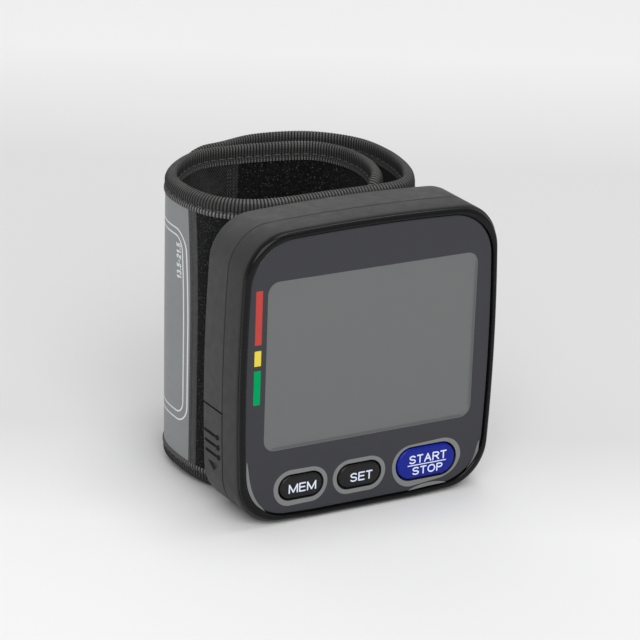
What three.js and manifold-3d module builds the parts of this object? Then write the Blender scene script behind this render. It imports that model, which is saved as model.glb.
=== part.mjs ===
// Wrist blood pressure monitor: a flat display housing on a rolled fabric cuff.
// Millimetres, +Z up, the face looks along -Y. The origin is the middle of the front shell's flat bottom.
// Inside this file Y is the depth behind the bezel's front plane; the last group moves it to the origin.
import * as THREE from 'three';
import { mergeGeometries, mergeVertices } from 'three/addons/utils/BufferGeometryUtils.js';
import Module from 'manifold-3d';

// General clearances
const gap = 0.3;
const overrun = 2;

// Housing
const bodyWidth = 71;
const bodyHeight = 74;
const bodyDepth = 18.15;
const cornerRadius = 11;
const sideRadius = 480;
const footWidth = 28;
const wall = 1.5;
const backWall = 1.15;
const partingDepth = 8.54;

// Bezel, lens and front wall
const bezelDepth = 1.3;
const bezelFillet = 1.1;
const bezelLip = 1.7;
const lensRecess = 0.7;
const lensThickness = 1;
const frontWall = 1.2;

// Display
const windowLeftMargin = 7.24;
const windowRightMargin = 6.4;
const windowTopMargin = 12.58;
const windowSill = 18.99;
const windowRadius = 3;
const windowMargin = 0.6;
const displayMargin = 1.3;
const displayFrontGlass = 0.55;
const displayRearGlass = 0.65;
const displayLedge = 2.8;
const connectorInset = 3.68;
const connectorHeight = 2.2;

// Buttons
const buttonSink = 0.35;
const buttonTravel = 0.6;
const buttonFlange = 0.8;
const buttonFlangeDepth = 0.8;
const buttonRowInset = 11.8;
const buttonRowClearance = 0.5;
const memToSet = 4.2;
const setToStart = 4.6;
const smallButtonShare = 0.29404;
const smallButtonHeight = 6.1;
const startButtonHeight = 8.3;
const smallButtonZ = 8.8;
const startButtonZ = 9;
const keypadMatDepth = 0.3;
const keypadMargin = 1;

// Boards and small electronic pieces
const boardDepth = 0.8;
const boardClearance = 0.8;
const chipSize = 11;
const chipDepth = 1.2;
const chipX = -14;
const buzzerRadius = 4.5;
const buzzerDepth = 4;
const buzzerToBoss = 10;
const buzzerDrop = 1;

// Batteries and their bay
const cellNub = 1;
const cellNubRadius = 1.9;
const bayLeftShare = 0.191;
const cellFloorShare = 0.2727;
const bayToBoss = 8.6;
const ceilingThickness = 1.3;
const bayWall = 1.1;
const bayTopHeight = 1.2;
const contactThickness = 0.4;
const contactReach = 1.4;
const contactWidth = 5.6;
const springRadius = 2.6;
const springTipRadius = 1.8;

// Battery cover
const coverTravel = 30;
const coverRibWidth = 1.2;
const coverRibShares = [0.22, 0.78];
const gripDepth = 0.45;
const gripWidth = 0.9;
const gripLength = 5.6;
const gripStart = 2.1;
const gripPitch = 2.5;
const gripDrop = 6.9;
const dimpleRadius = 0.75;
const triangleWidth = 4.6;
const triangleHeight = 2;
const triangleDrop = 13.8;

// Air system
const motorInset = 1;
const motorToBay = 4.6;
const pumpHeadInset = 6;
const pumpHeadHeight = 9;
const pumpHeadToPost = 3.7;
const manifoldWidth = 12;
const manifoldHeight = 6;
const manifoldThickness = 6;
const nozzleRadius = 1.3;
const nozzleLength = 4;
const pumpNozzleLength = 5.2;
const cuffNozzleRadius = 1.6;
const tubeWall = 0.6;
const valveWidth = 11;
const valveHeight = 9;
const sensorWidth = 9;
const sensorHeight = 5;
const sensorThickness = 7;

// Screws and bosses
const screwRadius = 0.95;
const screwHeadRadius = 1.8;
const screwHeadHeight = 1.2;
const screwEnd = 4;
const bossRadius = 1.9;
const collarRadius = 2.3;
const postRadius = 3;
const bossEndShare = 0.404;
const bossXShare = 0.4085;
const bossTopShare = 0.9054;
const bossLow = 7;
const sideBossInset = 3.6;

// Cuff band: thickness, the layers in it and its tape
const bandThickness = 3.4;
const clothThickness = 0.6;
const stiffenerThickness = 0.6;
const tapeWidth = 4.7;
const tapeRound = 0.8;
const flapCornerRadius = 12;
const tailCornerRadius = 8;
const bandStep = 3.2;

// Cuff route: sizes of the roll, and its points as shares of them, from the inner tail round to the front run
const rollWidth = 61;
const rollDepth = 42.7;
const frontRunHalf = 12;
const tailSpread = 0.15;
const innerRouteShares = [
  [0.189, 0.006],
  [0.246, 0.073],
  [0.294, 0.162],
  [0.328, 0.286],
  [0.3475, 0.445],
  [0.331, 0.644],
  [0.256, 0.81],
  [0.079, 0.892],
  [-0.082, 0.918],
  [-0.244, 0.888],
  [-0.37, 0.778],
  [-0.452, 0.652],
  [-0.497, 0.511],
  [-0.506, 0.359],
  [-0.495, 0.214],
  [-0.459, 0.083],
  [-0.388, -0.017],
  [-0.308, -0.067],
  [-0.251, -0.0825],
];
const bendRouteShares = [
  [0.254, -0.084],
  [0.32, -0.056],
  [0.3755, 0.005],
];
// The outer layer follows the inner one: where along the inner route, and how loose it stands there
const outerRouteShares = [
  [0.067, 0.0962],
  [0.107, 0.1012],
  [0.18, 0.1065],
  [0.249, 0.124],
  [0.309, 0.1191],
  [0.397, 0.0985],
  [0.472, 0.012],
  [0.535, 0.004],
  [0.58, 0.004],
];
const labelStartShare = 0.3019;
const labelEndShare = 0.4125;
const bladderStartShare = 0.3569;
const flapHingeShare = 0.6458;
const tipHingeShare = 0.7685;
const hookPatchShare = 0.8807;

// Cuff mounting plate and its bosses
const plateWidth = 22;
const plateMargin = 5;
const plateToBay = 4.4;
const plateBossX = 8.2;
const plateBossRadius = 2.2;
const cuffScrewHeadRadius = 3.2;
const cuffScrewHeadHeight = 1.2;
const cuffScrewLength = 2.2;

// Material colours
const shellGrey = 0x474947;
const glossBlack = 0x101112;
const clothBlack = 0x161716;
const labelGrey = 0x787d80;

const wasm = await Module();
wasm.setup();

// Depths that follow from the stack of walls and glass, front to back
const bezelSeat = bezelDepth + gap;
const lensBack = lensRecess + lensThickness;
const wallFront = lensBack + gap;
const wallBack = wallFront + frontWall;
const displayFront = wallBack + gap;
const displayBack = displayFront + displayFrontGlass + displayRearGlass;
const flangeFront = wallBack + gap;
const flangeBack = flangeFront + buttonFlangeDepth;
const boardFront = flangeBack + gap + keypadMatDepth + gap;
const boardBack = boardFront + boardDepth;
const partingFront = partingDepth - gap / 2;
const partingRear = partingDepth + gap / 2;
const backInner = bodyDepth - backWall;
const innerFront = boardBack + gap;
const innerBack = backInner - gap;
const innerMiddle = (innerFront + innerBack) / 2;
const standDepth = (bezelSeat + partingFront) / 2;
const bossEnd = innerFront + (innerBack - innerFront) * bossEndShare;

// Window, by its margins on the face
const windowWidth = bodyWidth - windowLeftMargin - windowRightMargin;
const windowHeight = bodyHeight - windowTopMargin - windowSill;
const windowCentreX = (windowLeftMargin - windowRightMargin) / 2;
const windowCentreZ = windowSill + windowHeight / 2;

// Battery bay: two cells that fill the depth behind the board, one above the other
const cellRadius = (innerBack - innerFront) / 2;
const bossX = bossXShare * bodyWidth;
const bossTop = bossTopShare * bodyHeight;
const bayLeft = wall + cornerRadius * bayLeftShare - bodyWidth / 2;
const bayRight = bossX - postRadius - bayToBoss;
const cellsLeft = bayLeft + gap + contactThickness + contactReach + gap;
const cellsRight = bayRight - gap - contactReach - contactThickness - gap;
const cellLength = cellsRight - cellsLeft - cellNub;
const lowerCellZ = wall + cornerRadius * cellFloorShare + cellRadius;
const upperCellZ = lowerCellZ + 2 * cellRadius + gap;
const bayCeiling = upperCellZ + cellRadius + gap;
const coverTop = bayCeiling + ceilingThickness;
const bayTop = coverTop + bayTopHeight;

// Screw bosses: two near the top, one at the lower right, one at the left above the bay
const bossPlaces = [
  [-bossX, bossTop],
  [bossX, bossTop],
  [bossX, bossLow],
  [sideBossInset - bodyWidth / 2, bayTop + postRadius + gap / 3],
];

// Row of buttons, from the left inset to the lower right boss
const buttonRowLeft = buttonRowInset - bodyWidth / 2;
const buttonRowRight = bossX - collarRadius - buttonFlange - buttonRowClearance;
const buttonRowWidth = buttonRowRight - buttonRowLeft - memToSet - setToStart;
const smallButtonWidth = buttonRowWidth * smallButtonShare;
const startButtonWidth = buttonRowWidth - 2 * smallButtonWidth;
const memButtonX = buttonRowLeft + smallButtonWidth / 2;
const setButtonX = memButtonX + smallButtonWidth + memToSet;
const startButtonX = buttonRowRight - startButtonWidth / 2;

// Air pieces stand round the manifold, below the upper posts
const manifoldZ = bossTop - postRadius - pumpHeadToPost - pumpHeadHeight / 2;
const tubeRadius = nozzleRadius + gap + tubeWall;
const portReach = manifoldWidth / 2 + nozzleLength;
const headLeft = portReach + gap + pumpNozzleLength;
const headRight = bodyWidth / 2 - pumpHeadInset;
const headLow = manifoldZ - pumpHeadHeight / 2;
const motorLow = bayTop + motorToBay;
const valveRight = -portReach - gap - nozzleLength;
const topPort = manifoldZ + manifoldHeight / 2;

// Cuff heights: the cuff is as tall as the housing
const cuffHeight = bodyHeight;
const clothLow = tapeWidth + gap;
const clothHigh = cuffHeight - tapeWidth - gap;
const plateBossLow = bayTop + cuffScrewHeadRadius + plateToBay;
const plateBossHigh = clothHigh - plateMargin;

// Turn a three.js geometry into a solid that can be cut and joined
function solid(geometry) {
  const bare = geometry.clone();
  bare.deleteAttribute('normal');
  bare.deleteAttribute('uv');
  const merged = mergeVertices(bare, 1e-4);
  const mesh = new wasm.Mesh({
    numProp: 3,
    vertProperties: new Float32Array(merged.attributes.position.array),
    triVerts: new Uint32Array(merged.index.array),
  });
  mesh.merge();
  return new wasm.Manifold(mesh);
}

// Turn a cut solid back into a three.js geometry
function geometryOf(body) {
  const mesh = body.getMesh();
  const points = new Float32Array((mesh.vertProperties.length / mesh.numProp) * 3);
  for (let i = 0; i < points.length / 3; i += 1) {
    points[3 * i] = mesh.vertProperties[mesh.numProp * i];
    points[3 * i + 1] = mesh.vertProperties[mesh.numProp * i + 1];
    points[3 * i + 2] = mesh.vertProperties[mesh.numProp * i + 2];
  }
  const geometry = new THREE.BufferGeometry();
  geometry.setAttribute('position', new THREE.BufferAttribute(points, 3));
  geometry.setIndex(new THREE.BufferAttribute(new Uint32Array(mesh.triVerts), 1));
  geometry.computeVertexNormals();
  return geometry;
}

// Points of one arc, both ends included
function arcPoints(centreX, centreZ, radius, fromAngle, toAngle, steps) {
  return Array.from({ length: steps + 1 }, (unused, i) => {
    const angle = fromAngle + ((toAngle - fromAngle) * i) / steps;
    return new THREE.Vector2(centreX + radius * Math.cos(angle), centreZ + radius * Math.sin(angle));
  });
}

// Outline of the housing drawn in by an inset: bowed sides, round corners and a flat foot
function housingOutline(inset) {
  const footSag = sideRadius - Math.sqrt(sideRadius ** 2 - (footWidth / 2) ** 2);
  const halfWidth = bodyWidth / 2;
  const halfHeight = (bodyHeight + footSag) / 2;
  const centreZ = bodyHeight - halfHeight;
  const sideX = halfWidth - sideRadius;
  const topZ = halfHeight - sideRadius;
  const reach = sideRadius - cornerRadius;
  const half = Math.hypot(sideX, topZ) / 2;
  const lift = Math.sqrt(reach ** 2 - half ** 2);
  const cornerX = sideX / 2 + (lift * -topZ) / (2 * half);
  const cornerZ = topZ / 2 + (lift * -sideX) / (2 * half);
  const sideAngle = Math.atan2(cornerZ, cornerX - sideX);
  const topAngle = Math.atan2(cornerZ - topZ, cornerX);
  const footAngle = Math.asin(footWidth / 2 / sideRadius);
  const r = cornerRadius - inset;
  const long = sideRadius - inset;
  const quarter = Math.PI / 2;
  const arcs = [
    arcPoints(sideX, 0, long, -sideAngle, sideAngle, 4),
    arcPoints(cornerX, cornerZ, r, sideAngle, topAngle, 8),
    arcPoints(0, topZ, long, topAngle, 2 * quarter - topAngle, 4),
    arcPoints(-cornerX, cornerZ, r, 2 * quarter - topAngle, 2 * quarter - sideAngle, 8),
    arcPoints(-sideX, 0, long, 2 * quarter - sideAngle, 2 * quarter + sideAngle, 4),
    arcPoints(-cornerX, -cornerZ, r, 2 * quarter + sideAngle, 2 * quarter + topAngle, 8),
    arcPoints(0, -topZ, long, 2 * quarter + topAngle, 3 * quarter - footAngle, 2),
    arcPoints(0, -topZ, long, 3 * quarter + footAngle, 4 * quarter - topAngle, 2),
    arcPoints(cornerX, -cornerZ, r, 4 * quarter - topAngle, 4 * quarter - sideAngle, 8),
  ];
  const points = [];
  for (const arc of arcs) {
    for (const p of arc) {
      const last = points[points.length - 1];
      if (!last || last.distanceTo(p) > gap / 100) points.push(p);
    }
  }
  if (points[0].distanceTo(points[points.length - 1]) < gap / 100) points.pop();
  return points.map((p) => new THREE.Vector2(p.x, p.y + centreZ));
}

// Extrude a closed outline in X and Z from one depth to another
function slab(outline, front, back) {
  const shape = outline instanceof THREE.Shape ? outline : new THREE.Shape(outline);
  const options = { depth: back - front, bevelEnabled: false, curveSegments: 6 };
  const geometry = new THREE.ExtrudeGeometry(shape, options);
  geometry.rotateX(Math.PI / 2);
  geometry.translate(0, back, 0);
  return solid(geometry);
}

// A box between two corners
function block(low, high) {
  const size = high.map((value, i) => value - low[i]);
  const geometry = new THREE.BoxGeometry(...size);
  geometry.translate(...high.map((value, i) => (value + low[i]) / 2));
  return solid(geometry);
}

// A round rod along Y between two depths
function rodY(x, z, radius, front, back, sides = 16) {
  const geometry = new THREE.CylinderGeometry(radius, radius, back - front, sides);
  geometry.translate(x, (front + back) / 2, z);
  return solid(geometry);
}

// A round rod along X between two places
function rodX(y, z, radius, left, right, sides = 16) {
  const geometry = new THREE.CylinderGeometry(radius, radius, right - left, sides);
  geometry.rotateZ(Math.PI / 2);
  geometry.translate((left + right) / 2, y, z);
  return solid(geometry);
}

// A round rod along Z between two heights
function rodZ(x, y, radius, low, high, sides = 16) {
  const geometry = new THREE.CylinderGeometry(radius, radius, high - low, sides);
  geometry.rotateX(Math.PI / 2);
  geometry.translate(x, y, (low + high) / 2);
  return solid(geometry);
}

// A pill outline: two half rounds joined by straight runs
function pillShape(x, z, width, height) {
  const r = height / 2;
  const reach = width / 2 - r;
  const shape = new THREE.Shape();
  shape.absarc(x + reach, z, r, -Math.PI / 2, Math.PI / 2, false);
  shape.absarc(x - reach, z, r, Math.PI / 2, (3 * Math.PI) / 2, false);
  return shape;
}

// A rectangle with round corners, by its centre
function roundedRectangle(x, z, width, height, r) {
  const right = x + width / 2 - r;
  const left = x - width / 2 + r;
  const top = z + height / 2 - r;
  const bottom = z - height / 2 + r;
  const shape = new THREE.Shape();
  shape.absarc(right, top, r, 0, Math.PI / 2, false);
  shape.absarc(left, top, r, Math.PI / 2, Math.PI, false);
  shape.absarc(left, bottom, r, Math.PI, (3 * Math.PI) / 2, false);
  shape.absarc(right, bottom, r, (3 * Math.PI) / 2, 2 * Math.PI, false);
  return shape;
}

// A closed ring whose section is a list of inset and depth pairs, carried round the housing's outline
function outlineRing(section) {
  const rings = section.map(([inset, depth]) => housingOutline(inset).map((p) => [p.x, depth, p.y]));
  const count = rings[0].length;
  const index = [];
  for (let i = 0; i < rings.length; i += 1) {
    const next = (i + 1) % rings.length;
    for (let j = 0; j < count; j += 1) {
      const k = (j + 1) % count;
      index.push(i * count + j, i * count + k, next * count + j);
      index.push(i * count + k, next * count + k, next * count + j);
    }
  }
  return closedGeometry(rings.flat(), index);
}

// A geometry from points and faces, turned right side out
function closedGeometry(points, index) {
  let volume = 0;
  for (let i = 0; i < index.length; i += 3) {
    const [a, b, c] = [points[index[i]], points[index[i + 1]], points[index[i + 2]]];
    volume += a[0] * (b[1] * c[2] - b[2] * c[1]);
    volume += a[1] * (b[2] * c[0] - b[0] * c[2]);
    volume += a[2] * (b[0] * c[1] - b[1] * c[0]);
  }
  const faces = [];
  for (let i = 0; i < index.length; i += 3) {
    const flip = volume < 0;
    faces.push(index[i], flip ? index[i + 2] : index[i + 1], flip ? index[i + 1] : index[i + 2]);
  }
  const geometry = new THREE.BufferGeometry();
  geometry.setAttribute('position', new THREE.Float32BufferAttribute(points.flat(), 3));
  geometry.setIndex(faces);
  geometry.computeVertexNormals();
  return geometry;
}

// The three buttons: centre, width and height of each
const buttons = {
  mem_button: [memButtonX, smallButtonZ, smallButtonWidth, smallButtonHeight],
  set_button: [setButtonX, smallButtonZ, smallButtonWidth, smallButtonHeight],
  start_stop_button: [startButtonX, startButtonZ, startButtonWidth, startButtonHeight],
};

// Cut the button holes through a plate between two depths
function cutButtonHoles(plate, front, back) {
  let result = plate;
  for (const [x, z, width, height] of Object.values(buttons)) {
    result = result.subtract(slab(pillShape(x, z, width + 2 * gap, height + 2 * gap), front, back));
  }
  return result;
}

// Bezel ring with its rounded front edge
function bezelRing() {
  const section = [[0, bezelDepth]];
  for (let i = 0; i <= 3; i += 1) {
    const angle = (i / 3) * (Math.PI / 2);
    section.push([bezelFillet * (1 - Math.cos(angle)), bezelFillet * (1 - Math.sin(angle))]);
  }
  section.push([bezelLip, 0], [bezelLip, bezelDepth]);
  return outlineRing(section);
}

// Printed lens with the holes for the buttons
function displayLens() {
  const plate = slab(housingOutline(bezelLip + gap), lensRecess, lensBack);
  return geometryOf(cutButtonHoles(plate, lensRecess - overrun, lensBack + overrun));
}

// Front shell: side wall, front wall, window, button holes and four bosses
function frontShell() {
  let shell = slab(housingOutline(0), bezelSeat, partingFront);
  shell = shell.subtract(slab(housingOutline(bezelLip), bezelSeat - overrun, wallFront));
  shell = shell.subtract(slab(housingOutline(wall), wallBack, partingFront + overrun));
  const [w, h] = [windowWidth + 2 * windowMargin, windowHeight + 2 * windowMargin];
  const opening = roundedRectangle(windowCentreX, windowCentreZ, w, h, windowRadius);
  shell = shell.subtract(slab(opening, wallFront - overrun, wallBack + overrun));
  shell = cutButtonHoles(shell, wallFront - overrun, wallBack + overrun);
  for (const [x, z] of bossPlaces) {
    shell = shell.add(rodY(x, z, collarRadius, wallBack - gap, boardFront - gap));
    shell = shell.add(rodY(x, z, bossRadius, wallBack - gap, bossEnd));
    shell = shell.subtract(rodY(x, z, screwRadius + gap, screwEnd - gap, bossEnd + overrun, 12));
  }
  return geometryOf(shell);
}

// The corner of the housing that slides off as the battery cover, grown by a margin
function coverRegion(margin) {
  const right = bayRight + margin;
  return block([-bodyWidth, partingFront - overrun, -overrun], [right, bodyDepth + overrun, coverTop + margin]);
}

// Outer skin of the rear half: side wall and back wall
function rearSkin() {
  const skin = slab(housingOutline(0), partingRear, bodyDepth);
  return skin.subtract(slab(housingOutline(wall), partingRear - overrun, backInner));
}

// Rear shell with the battery bay's walls, screw posts and the holes for cuff, nozzle and screws
function rearShell() {
  let shell = rearSkin().subtract(coverRegion(gap / 2));
  const inside = slab(housingOutline(wall + gap), innerFront, backInner);
  const ceiling = block([bayLeft - bayWall, innerFront, bayCeiling], [bayRight + bayWall, innerBack, coverTop]);
  const shelf = block([bayLeft - bayWall, innerFront, coverTop - gap], [bayRight + bayWall, backInner, bayTop]);
  const shelfTop = block(
    [bayLeft - bayWall, innerBack, coverTop - overrun],
    [bayRight + gap / 2, backInner, coverTop + gap / 2],
  );
  const left = block([bayLeft - bayWall, innerFront, wall + gap], [bayLeft, innerBack, coverTop]);
  const right = block([bayRight, innerFront, wall + gap], [bayRight + bayWall, innerBack, coverTop]);
  const foot = block(
    [bayRight + gap / 2, innerFront, wall / 2],
    [bayRight + bayWall, backInner + backWall / 2, coverTop],
  );
  const bay = ceiling.add(shelf.subtract(shelfTop)).add(left).add(right).intersect(inside);
  const wide = slab(housingOutline(wall / 2), partingRear, backInner + backWall / 2);
  shell = shell.add(bay).add(foot.intersect(wide));
  for (const [x, z] of bossPlaces) {
    shell = shell.add(rodY(x, z, postRadius, bossEnd + gap, backInner + backWall / 2).intersect(wide));
    shell = shell.subtract(rodY(x, z, screwRadius + gap, bossEnd - overrun, bodyDepth + overrun, 12));
    shell = shell.subtract(rodY(x, z, screwHeadRadius + gap, backInner, bodyDepth + overrun, 12));
  }
  for (const x of [-plateBossX, plateBossX]) {
    for (const z of [plateBossLow, plateBossHigh]) {
      shell = shell.subtract(rodY(x, z, plateBossRadius + gap, backInner - overrun, bodyDepth + overrun));
    }
  }
  const nozzleHole = rodY(0, manifoldZ, cuffNozzleRadius + gap, backInner - overrun, bodyDepth + overrun);
  return geometryOf(shell.subtract(nozzleHole));
}

// Battery cover: the cut-out corner, its cell ribs and the grip marks on its left side
function batteryCover() {
  let cover = rearSkin().intersect(coverRegion(-gap / 2));
  const inside = slab(housingOutline(wall / 2), partingRear, backInner + backWall / 2);
  for (const share of coverRibShares) {
    const x = cellsLeft + cellLength * share;
    const low = [x - coverRibWidth / 2, innerFront + cellRadius / 2, 0];
    const high = [x + coverRibWidth / 2, backInner + backWall / 2, lowerCellZ - cellRadius - gap];
    cover = cover.add(block(low, high).intersect(inside));
  }
  const skinX = -bodyWidth / 2 + gripDepth;
  for (let i = 0; i < 3; i += 1) {
    const z = coverTop - gripDrop - i * gripPitch;
    const front = partingRear + gripStart;
    const low = [-bodyWidth, front, z - gripWidth / 2];
    cover = cover.subtract(block(low, [skinX, front + gripLength, z + gripWidth / 2]));
    cover = cover.subtract(rodX(front, z, dimpleRadius, -bodyWidth, skinX, 12));
  }
  const middle = partingRear + gripStart + gripLength / 2;
  const triangleTop = coverTop - triangleDrop;
  const triangle = new THREE.Shape([
    new THREE.Vector2(middle - triangleWidth / 2, triangleTop),
    new THREE.Vector2(middle, triangleTop - triangleHeight),
    new THREE.Vector2(middle + triangleWidth / 2, triangleTop),
  ]);
  const mark = new THREE.ExtrudeGeometry(triangle, { depth: bodyWidth, bevelEnabled: false });
  mark.applyMatrix4(new THREE.Matrix4().makeBasis(
    new THREE.Vector3(0, 1, 0),
    new THREE.Vector3(0, 0, 1),
    new THREE.Vector3(1, 0, 0),
  ));
  mark.translate(skinX - bodyWidth, 0, 0);
  return geometryOf(cover.subtract(solid(mark)));
}

// One keycap: a pill that stands a little out of the lens, with a flange behind the front wall
function keycap(name) {
  const [x, z, width, height] = buttons[name];
  const cap = slab(pillShape(x, z, width, height), buttonSink, flangeBack);
  const flangeShape = pillShape(x, z, width + 2 * buttonFlange, height + 2 * buttonFlange);
  return geometryOf(cap.add(slab(flangeShape, flangeFront, flangeBack)));
}

// Rubber mat under the three keycaps
function keypadMat() {
  const left = memButtonX - smallButtonWidth / 2 - keypadMargin;
  const right = startButtonX + startButtonWidth / 2 + keypadMargin;
  const low = startButtonZ - startButtonHeight / 2;
  const high = startButtonZ + startButtonHeight / 2;
  const front = flangeBack + gap;
  return geometryOf(block([left, front, low], [right, front + keypadMatDepth, high]));
}

// Display: a front glass and a shorter rear glass that leaves a ledge for the connector
function displayPanel() {
  const left = windowCentreX - windowWidth / 2 - displayMargin;
  const right = windowCentreX + windowWidth / 2 + displayMargin;
  const low = windowCentreZ - windowHeight / 2 - displayMargin;
  const high = windowCentreZ + windowHeight / 2 + displayMargin;
  const middle = displayFront + displayFrontGlass;
  const front = block([left, displayFront, low], [right, middle, high]);
  const rear = block([left, middle - gap / 2, low + displayLedge], [right, displayBack, high]);
  return geometryOf(front.add(rear));
}

// Connector strip on the display's ledge
function connectorStrip() {
  const low = windowCentreZ - windowHeight / 2 - displayMargin + gap;
  const front = displayFront + displayFrontGlass + gap;
  const half = windowWidth / 2 - connectorInset;
  const high = [windowCentreX + half, boardFront - gap, low + connectorHeight];
  return geometryOf(block([windowCentreX - half, front, low], high));
}

// Main board with holes for the front shell's bosses
function mainBoard() {
  let board = slab(housingOutline(wall + boardClearance), boardFront, boardBack);
  for (const [x, z] of bossPlaces) {
    board = board.subtract(rodY(x, z, bossRadius + gap / 2, boardFront - overrun, boardBack + overrun));
  }
  return geometryOf(board);
}

// Controller chip on the back of the board
function controllerChip() {
  const half = chipSize / 2;
  const chipZ = (bayTop + manifoldZ - valveHeight / 2) / 2;
  const low = [chipX - half, innerFront, chipZ - half];
  return geometryOf(block(low, [chipX + half, innerFront + chipDepth, chipZ + half]));
}

// Buzzer on the back of the board
function buzzer() {
  const back = innerFront + buzzerDepth;
  return geometryOf(rodY(buzzerToBoss - bossX, bossTop - buzzerDrop, buzzerRadius, innerFront, back, 20));
}

// Pump motor: a can with two flats, held between the board and the back wall
function pumpMotor() {
  const width = headRight - headLeft - 2 * motorInset;
  const can = roundedRectangle((headLeft + headRight) / 2, innerMiddle, width, innerBack - innerFront, width / 4);
  const options = { depth: headLow - gap - motorLow, bevelEnabled: false, curveSegments: 3 };
  const geometry = new THREE.ExtrudeGeometry(can, options);
  geometry.translate(0, 0, motorLow);
  return geometry;
}

// Pump head above the motor, with its nozzle towards the manifold
function pumpHead() {
  const head = block([headLeft, innerFront, headLow], [headRight, innerBack, headLow + pumpHeadHeight]);
  return geometryOf(head.add(rodX(innerMiddle, manifoldZ, nozzleRadius, portReach + gap, headLeft + overrun)));
}

// Manifold: a block with ports to pump, valve and sensor, and the nozzle through the back wall into the cuff
function airManifold() {
  const half = manifoldThickness / 2;
  const low = [-manifoldWidth / 2, innerMiddle - half, manifoldZ - manifoldHeight / 2];
  const high = [manifoldWidth / 2, innerMiddle + half, manifoldZ + manifoldHeight / 2];
  const side = rodX(innerMiddle, manifoldZ, nozzleRadius, -portReach, portReach);
  const top = rodZ(0, innerMiddle, nozzleRadius, manifoldZ, topPort + nozzleLength);
  const cuffPort = rodY(0, manifoldZ, cuffNozzleRadius, innerMiddle, frontRunDepth - gap / 3);
  return geometryOf(block(low, high).add(side).add(top).add(cuffPort));
}

// A straight silicone tube with a bore, along X
function sideTube(left, right) {
  const tube = rodX(innerMiddle, manifoldZ, tubeRadius, left, right);
  return geometryOf(tube.subtract(rodX(innerMiddle, manifoldZ, nozzleRadius + gap, left - overrun, right + overrun)));
}

// The silicone tube between manifold and sensor
function sensorTube(low, high) {
  const tube = rodZ(0, innerMiddle, tubeRadius, low, high);
  return geometryOf(tube.subtract(rodZ(0, innerMiddle, nozzleRadius + gap, low - overrun, high + overrun)));
}

// Release valve with its nozzle towards the manifold
function airValve() {
  const low = [valveRight - valveWidth, innerFront, manifoldZ - valveHeight / 2];
  const frame = block(low, [valveRight, innerBack, manifoldZ + valveHeight / 2]);
  return geometryOf(frame.add(rodX(innerMiddle, manifoldZ, nozzleRadius, valveRight - overrun, -portReach - gap)));
}

// Pressure sensor on the board, with its port towards the manifold
function pressureSensor() {
  const portEnd = topPort + nozzleLength + gap;
  const low = [-sensorWidth / 2, innerFront, portEnd + nozzleLength / 2];
  const body = block(low, [sensorWidth / 2, innerFront + sensorThickness, low[2] + sensorHeight]);
  return geometryOf(body.add(rodZ(0, innerMiddle, nozzleRadius, portEnd, low[2] + sensorHeight / 2)));
}

// One battery cell along X; the nub points left or right
function cell(z, nubLeft) {
  const bodyLeft = nubLeft ? cellsLeft + cellNub : cellsLeft;
  const nubStart = nubLeft ? cellsLeft : bodyLeft + cellLength;
  const can = rodX(innerMiddle, z, cellRadius, bodyLeft, bodyLeft + cellLength, 24);
  const nub = rodX(innerMiddle, z, cellNubRadius, nubStart - gap / 2, nubStart + cellNub + gap / 2, 12);
  const limits = block([cellsLeft, 0, -overrun], [cellsRight, bodyDepth, bodyHeight]);
  return geometryOf(can.add(nub).intersect(limits));
}

// A cone-shaped contact spring or a small raised contact on a plate
function contactTip(z, plateX, direction, isSpring) {
  const [wide, narrow] = isSpring ? [springRadius, springTipRadius] : [cellNubRadius, cellNubRadius];
  const length = contactReach + contactThickness / 2;
  const geometry = new THREE.CylinderGeometry(narrow, wide, length, 16);
  geometry.rotateZ((-direction * Math.PI) / 2);
  geometry.translate(plateX + (direction * length) / 2, innerMiddle, z);
  return solid(geometry);
}

// Jumper at the left end that joins the two cells
function contactJumper() {
  const x = bayLeft + gap;
  const low = [x, innerMiddle - contactWidth / 2, lowerCellZ - contactWidth / 2];
  const plate = block(low, [x + contactThickness, innerMiddle + contactWidth / 2, upperCellZ + contactWidth / 2]);
  const start = x + contactThickness / 2;
  const tips = contactTip(lowerCellZ, start, 1, true).add(contactTip(upperCellZ, start, 1, false));
  return geometryOf(plate.add(tips));
}

// A single contact at the right end
function endContact(z, isSpring) {
  const x = bayRight - gap - contactThickness;
  const half = contactWidth / 2;
  const plate = block([x, innerMiddle - half, z - half], [x + contactThickness, innerMiddle + half, z + half]);
  return geometryOf(plate.add(contactTip(z, x + contactThickness / 2, -1, isSpring)));
}

// A screw along Y whose head lies at the back
function screw(x, z, headFront, headRadius, headHeight, tipDepth) {
  const shank = headFront - tipDepth;
  const profile = [
    new THREE.Vector2(0, 0),
    new THREE.Vector2(screwRadius / 2, 0),
    new THREE.Vector2(screwRadius, screwRadius),
    new THREE.Vector2(screwRadius, shank),
    new THREE.Vector2(headRadius, shank),
    new THREE.Vector2(headRadius, shank + headHeight / 2),
    new THREE.Vector2(headRadius / 2, shank + headHeight),
    new THREE.Vector2(0, shank + headHeight),
  ];
  const geometry = new THREE.LatheGeometry(profile, 12);
  geometry.translate(x, tipDepth, z);
  return geometryOf(solid(geometry));
}

// The depth of the front run's middle line behind the housing
const frontRunDepth = bodyDepth + gap + bandThickness / 2;
const halfBand = bandThickness / 2;

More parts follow.
